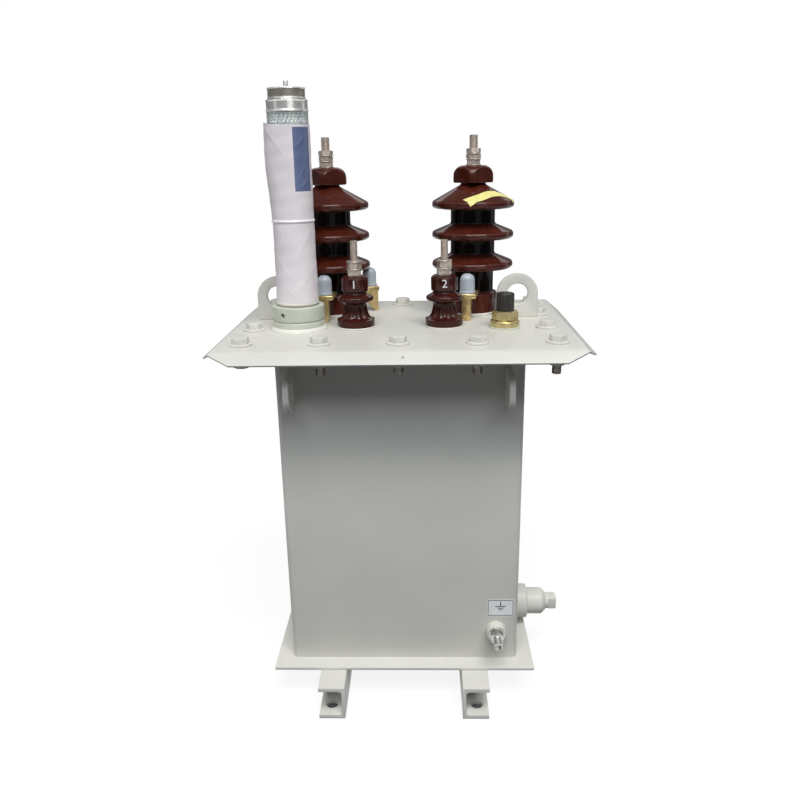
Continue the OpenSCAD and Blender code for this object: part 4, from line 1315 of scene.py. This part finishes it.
class TRANSFORMER_OT_stage(bpy.types.Operator):
    """Set the camera, the lamps, the room's light, the pale floor and the cards"""
    bl_idname = "transformer.stage"
    bl_label = "Stage"
    # where the lamps stand and how wide and tall they are; all of them point at the target
    target = (0, -0.1, 0.3)
    top_place, top_size = (0.6, -2.6, 5.75), (4.6, 1.3)
    front_place, front_size = (0.6, -3.85, 4.95), (4.6, 2.9)
    rear_places, side_place, soft_size = ((-2.4, 3.2, 1.5), (2.4, 3.2, 1.5)), (-3.2, -0.4, 1.3), (1.6, 1.6)
    # the floor's glow rises from one share to the other between two distances
    floor_size, glow_shares, glow_distances = 12, (0.88, 1.0), (0.6, 2.5)
    # cards: turns of the upright ones around the stage, their distance and size, and the one overhead
    card_turns, card_away, card_tall, card_half_angle = (-22, 74, 152, -96, -150), 3.2, 1.9, 33
    ceiling_place, ceiling_size = (0, 1.9, 3.0), (8, 3)

    def execute(self, context):
        scene = context.scene
        stage = scene.transformer_stage
        scene.view_settings.view_transform = "Standard"
        self.camera(scene, stage)
        top = self.lamp("top_lamp", stage.top_power, self.top_place, self.top_size)
        top.data.color = colours().top_light
        front = self.lamp("front_lamp", stage.front_power, self.front_place, self.front_size)
        front.data.color = colours().front_light
        soft = [(stage.rear_power, place) for place in self.rear_places]
        soft.append((stage.side_power, self.side_place))
        for power, place in soft:
            self.lamp("soft_lamp", power, place, self.soft_size).visible_glossy = False
        self.room(scene, stage)
        self.floor()
        self.cards()
        return {"FINISHED"}

    def camera(self, scene, stage):
        """The camera as fitted to the photograph."""
        yaw, pitch, roll = stage.yaw, stage.pitch, stage.roll
        ahead = Vector((math.sin(yaw) * math.cos(pitch), math.cos(yaw) * math.cos(pitch), -math.sin(pitch)))
        right = Vector((math.cos(yaw), -math.sin(yaw), 0))
        up = right.cross(ahead)
        across = math.cos(roll) * right + math.sin(roll) * up
        upright = math.cos(roll) * up - math.sin(roll) * right
        data = bpy.data.cameras.new("camera")
        data.lens = stage.lens
        data.sensor_width = 36
        camera = bpy.data.objects.new("camera", data)
        scene.collection.objects.link(camera)
        turn = Matrix((across, upright, -ahead)).transposed().to_4x4()
        camera.matrix_world = Matrix.Translation(Vector(stage.eye)) @ turn
        scene.camera = camera

    def lamp(self, name, power, place, size):
        """A soft rectangular lamp that the camera doesn't see."""
        data = bpy.data.lights.new(name, "AREA")
        data.shape = "RECTANGLE"
        data.size, data.size_y = size
        data.energy = power
        lamp = bpy.data.objects.new(name, data)
        bpy.context.scene.collection.objects.link(lamp)
        lamp.location = place
        lamp.visible_camera = False
        lamp.rotation_euler = (Vector(self.target) - Vector(place)).to_track_quat("-Z", "Y").to_euler()
        return lamp

    def seen(self, tree):
        """One where a ray comes from the eye, a gloss or through glass, and nought for other light."""
        path = add(tree, "LightPath").outputs
        gloss = figured(tree, "MAXIMUM", path["Is Camera Ray"], path["Is Glossy Ray"])
        return figured(tree, "MAXIMUM", gloss, path["Is Transmission Ray"])

    def room(self, scene, stage):
        """The room's own light: white to the eye, a dim cool fill for the rest."""
        world = bpy.data.worlds.new("room")
        world.use_nodes = True
        tree = world.node_tree
        sight = self.seen(tree)
        strength = add(tree, "MapRange", {"Value": sight, "To Min": stage.fill, "To Max": 1.0})
        tone = add(tree, "Mix", {0: sight, 6: (*colours().fill, 1), 7: (1, 1, 1, 1)}, data_type="RGBA")
        tree.links.new(strength.outputs[0], tree.nodes["Background"].inputs["Strength"])
        tree.links.new(tone.outputs[2], tree.nodes["Background"].inputs["Color"])
        scene.world = world

    def floor(self):
        """A wide pale floor: it takes the object's shadow and a painted shadow under the skids, and the eye
        sees it as white beyond.
        """
        floor = fresh("studio_floor", bpy.ops.mesh.primitive_plane_add, size=self.floor_size,
                      location=(0, 0, CAD_BOX[0][2]))
        material = bpy.data.materials.new("Pale studio floor")
        material.use_nodes = True
        tree = material.node_tree
        tree.nodes.remove(tree.nodes["Principled BSDF"])
        sight = self.seen(tree)
        tone = add(tree, "Mix", {0: sight, 6: (*colours().floor_bounce, 1), 7: (*colours().floor, 1)},
                   data_type="RGBA")
        matt = add(tree, "BsdfDiffuse", {"Color": tone.outputs[2]})
        # white all over: the glow rises where the lamps' light falls off, so that only the shadow shows
        place = add(tree, "TexCoord").outputs["Object"]
        away = add(tree, "VectorMath", {0: place}, operation="LENGTH")
        near, far = self.glow_distances
        rise = add(tree, "MapRange", {"Value": away.outputs["Value"], "From Min": near, "From Max": far,
                                      "To Min": self.glow_shares[0], "To Max": self.glow_shares[1]})
        # the glow is cut off under the skids: a painted shadow, which shows in their foot holes
        low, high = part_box("skid_right")
        spot = add(tree, "SeparateXYZ", {0: place}).outputs
        aside, ahead = figured(tree, "ABSOLUTE", spot["X"]), figured(tree, "ABSOLUTE", spot["Y"])
        under = figured(tree, "COMPARE", aside, (low.x + high.x) / 2, (high.x - low.x) / 2)
        beyond = figured(tree, "GREATER_THAN", ahead, high.y)
        # where the floor may glow: everywhere outside the painted shadow under the skids
        lit = figured(tree, "MAXIMUM", figured(tree, "SUBTRACT", 1.0, under), beyond)
        shown = figured(tree, "MULTIPLY", figured(tree, "MULTIPLY", rise.outputs[0], lit), sight)
        glow = add(tree, "Emission", {"Strength": shown})
        both = add(tree, "AddShader", {0: matt.outputs[0], 1: glow.outputs[0]})
        tree.links.new(both.outputs[0], tree.nodes["Material Output"].inputs["Surface"])
        paint(floor, material)

    def cards(self):
        """Dim upright cards around the stage with gaps between them, which only gloss and glass show."""
        material = bpy.data.materials.new("Dim card")
        material.use_nodes = True
        tree = material.node_tree
        glow = add(tree, "Emission", {"Color": (*colours().card, 1), "Strength": 1.0})
        tree.links.new(glow.outputs[0], tree.nodes["Material Output"].inputs["Surface"])
        upright = (2 * self.card_away * math.tan(math.radians(self.card_half_angle)), self.card_tall)
        cards = []
        for turn in map(math.radians, self.card_turns):
            place = (self.card_away * math.sin(turn), -self.card_away * math.cos(turn), self.card_tall / 2)
            cards.append((place, (math.pi / 2, 0, turn), upright))
        cards.append((self.ceiling_place, (0, 0, 0), self.ceiling_size))
        for place, turn, (wide, tall) in cards:
            card = fresh("card", bpy.ops.mesh.primitive_plane_add, size=1, location=place, rotation=turn)
            card.scale = (wide, tall, 1)
            card.visible_camera = card.visible_diffuse = card.visible_shadow = False
            paint(card, material)


class TRANSFORMER_PT_pieces(bpy.types.Panel):
    """Lists the pieces and their settings in the sidebar"""
    bl_label = "Transformer"
    bl_space_type = "VIEW_3D"
    bl_region_type = "UI"
    bl_category = "Transformer"

    def draw(self, context):
        for operator in OPERATORS:
            self.layout.operator(operator.bl_idname)
        for group in (context.scene.transformer_sizes, context.scene.transformer_colours,
                      context.scene.transformer_stage):
            box = self.layout.box()
            for name in group.bl_rna.properties.keys():
                if name not in ("rna_type", "name"):
                    box.prop(group, name)


OPERATORS = (TRANSFORMER_OT_stage, TRANSFORMER_OT_tank, TRANSFORMER_OT_lid, TRANSFORMER_OT_lid_bolts,
             TRANSFORMER_OT_hv_bushings, TRANSFORMER_OT_claws, TRANSFORMER_OT_lv_bushings,
             TRANSFORMER_OT_breather, TRANSFORMER_OT_film, TRANSFORMER_OT_filler, TRANSFORMER_OT_earth,
             TRANSFORMER_OT_drain, TRANSFORMER_OT_tape)
GROUPS = {"transformer_colours": TransformerColours, "transformer_sizes": TransformerSizes,
          "transformer_stage": TransformerStage}


def register():
    for name, group in GROUPS.items():
        bpy.utils.register_class(group)
        setattr(bpy.types.Scene, name, PointerProperty(type=group))
    for operator in OPERATORS:
        bpy.utils.register_class(operator)
    bpy.utils.register_class(TRANSFORMER_PT_pieces)


def unregister():
    bpy.utils.unregister_class(TRANSFORMER_PT_pieces)
    for operator in reversed(OPERATORS):
        bpy.utils.unregister_class(operator)
    for name, group in GROUPS.items():
        delattr(bpy.types.Scene, name)
        bpy.utils.unregister_class(group)


def main():
    register()
    for operator in OPERATORS:
        family, name = operator.bl_idname.split(".")
        getattr(getattr(bpy.ops, family), name)()


if __name__ == "__main__":
    main()
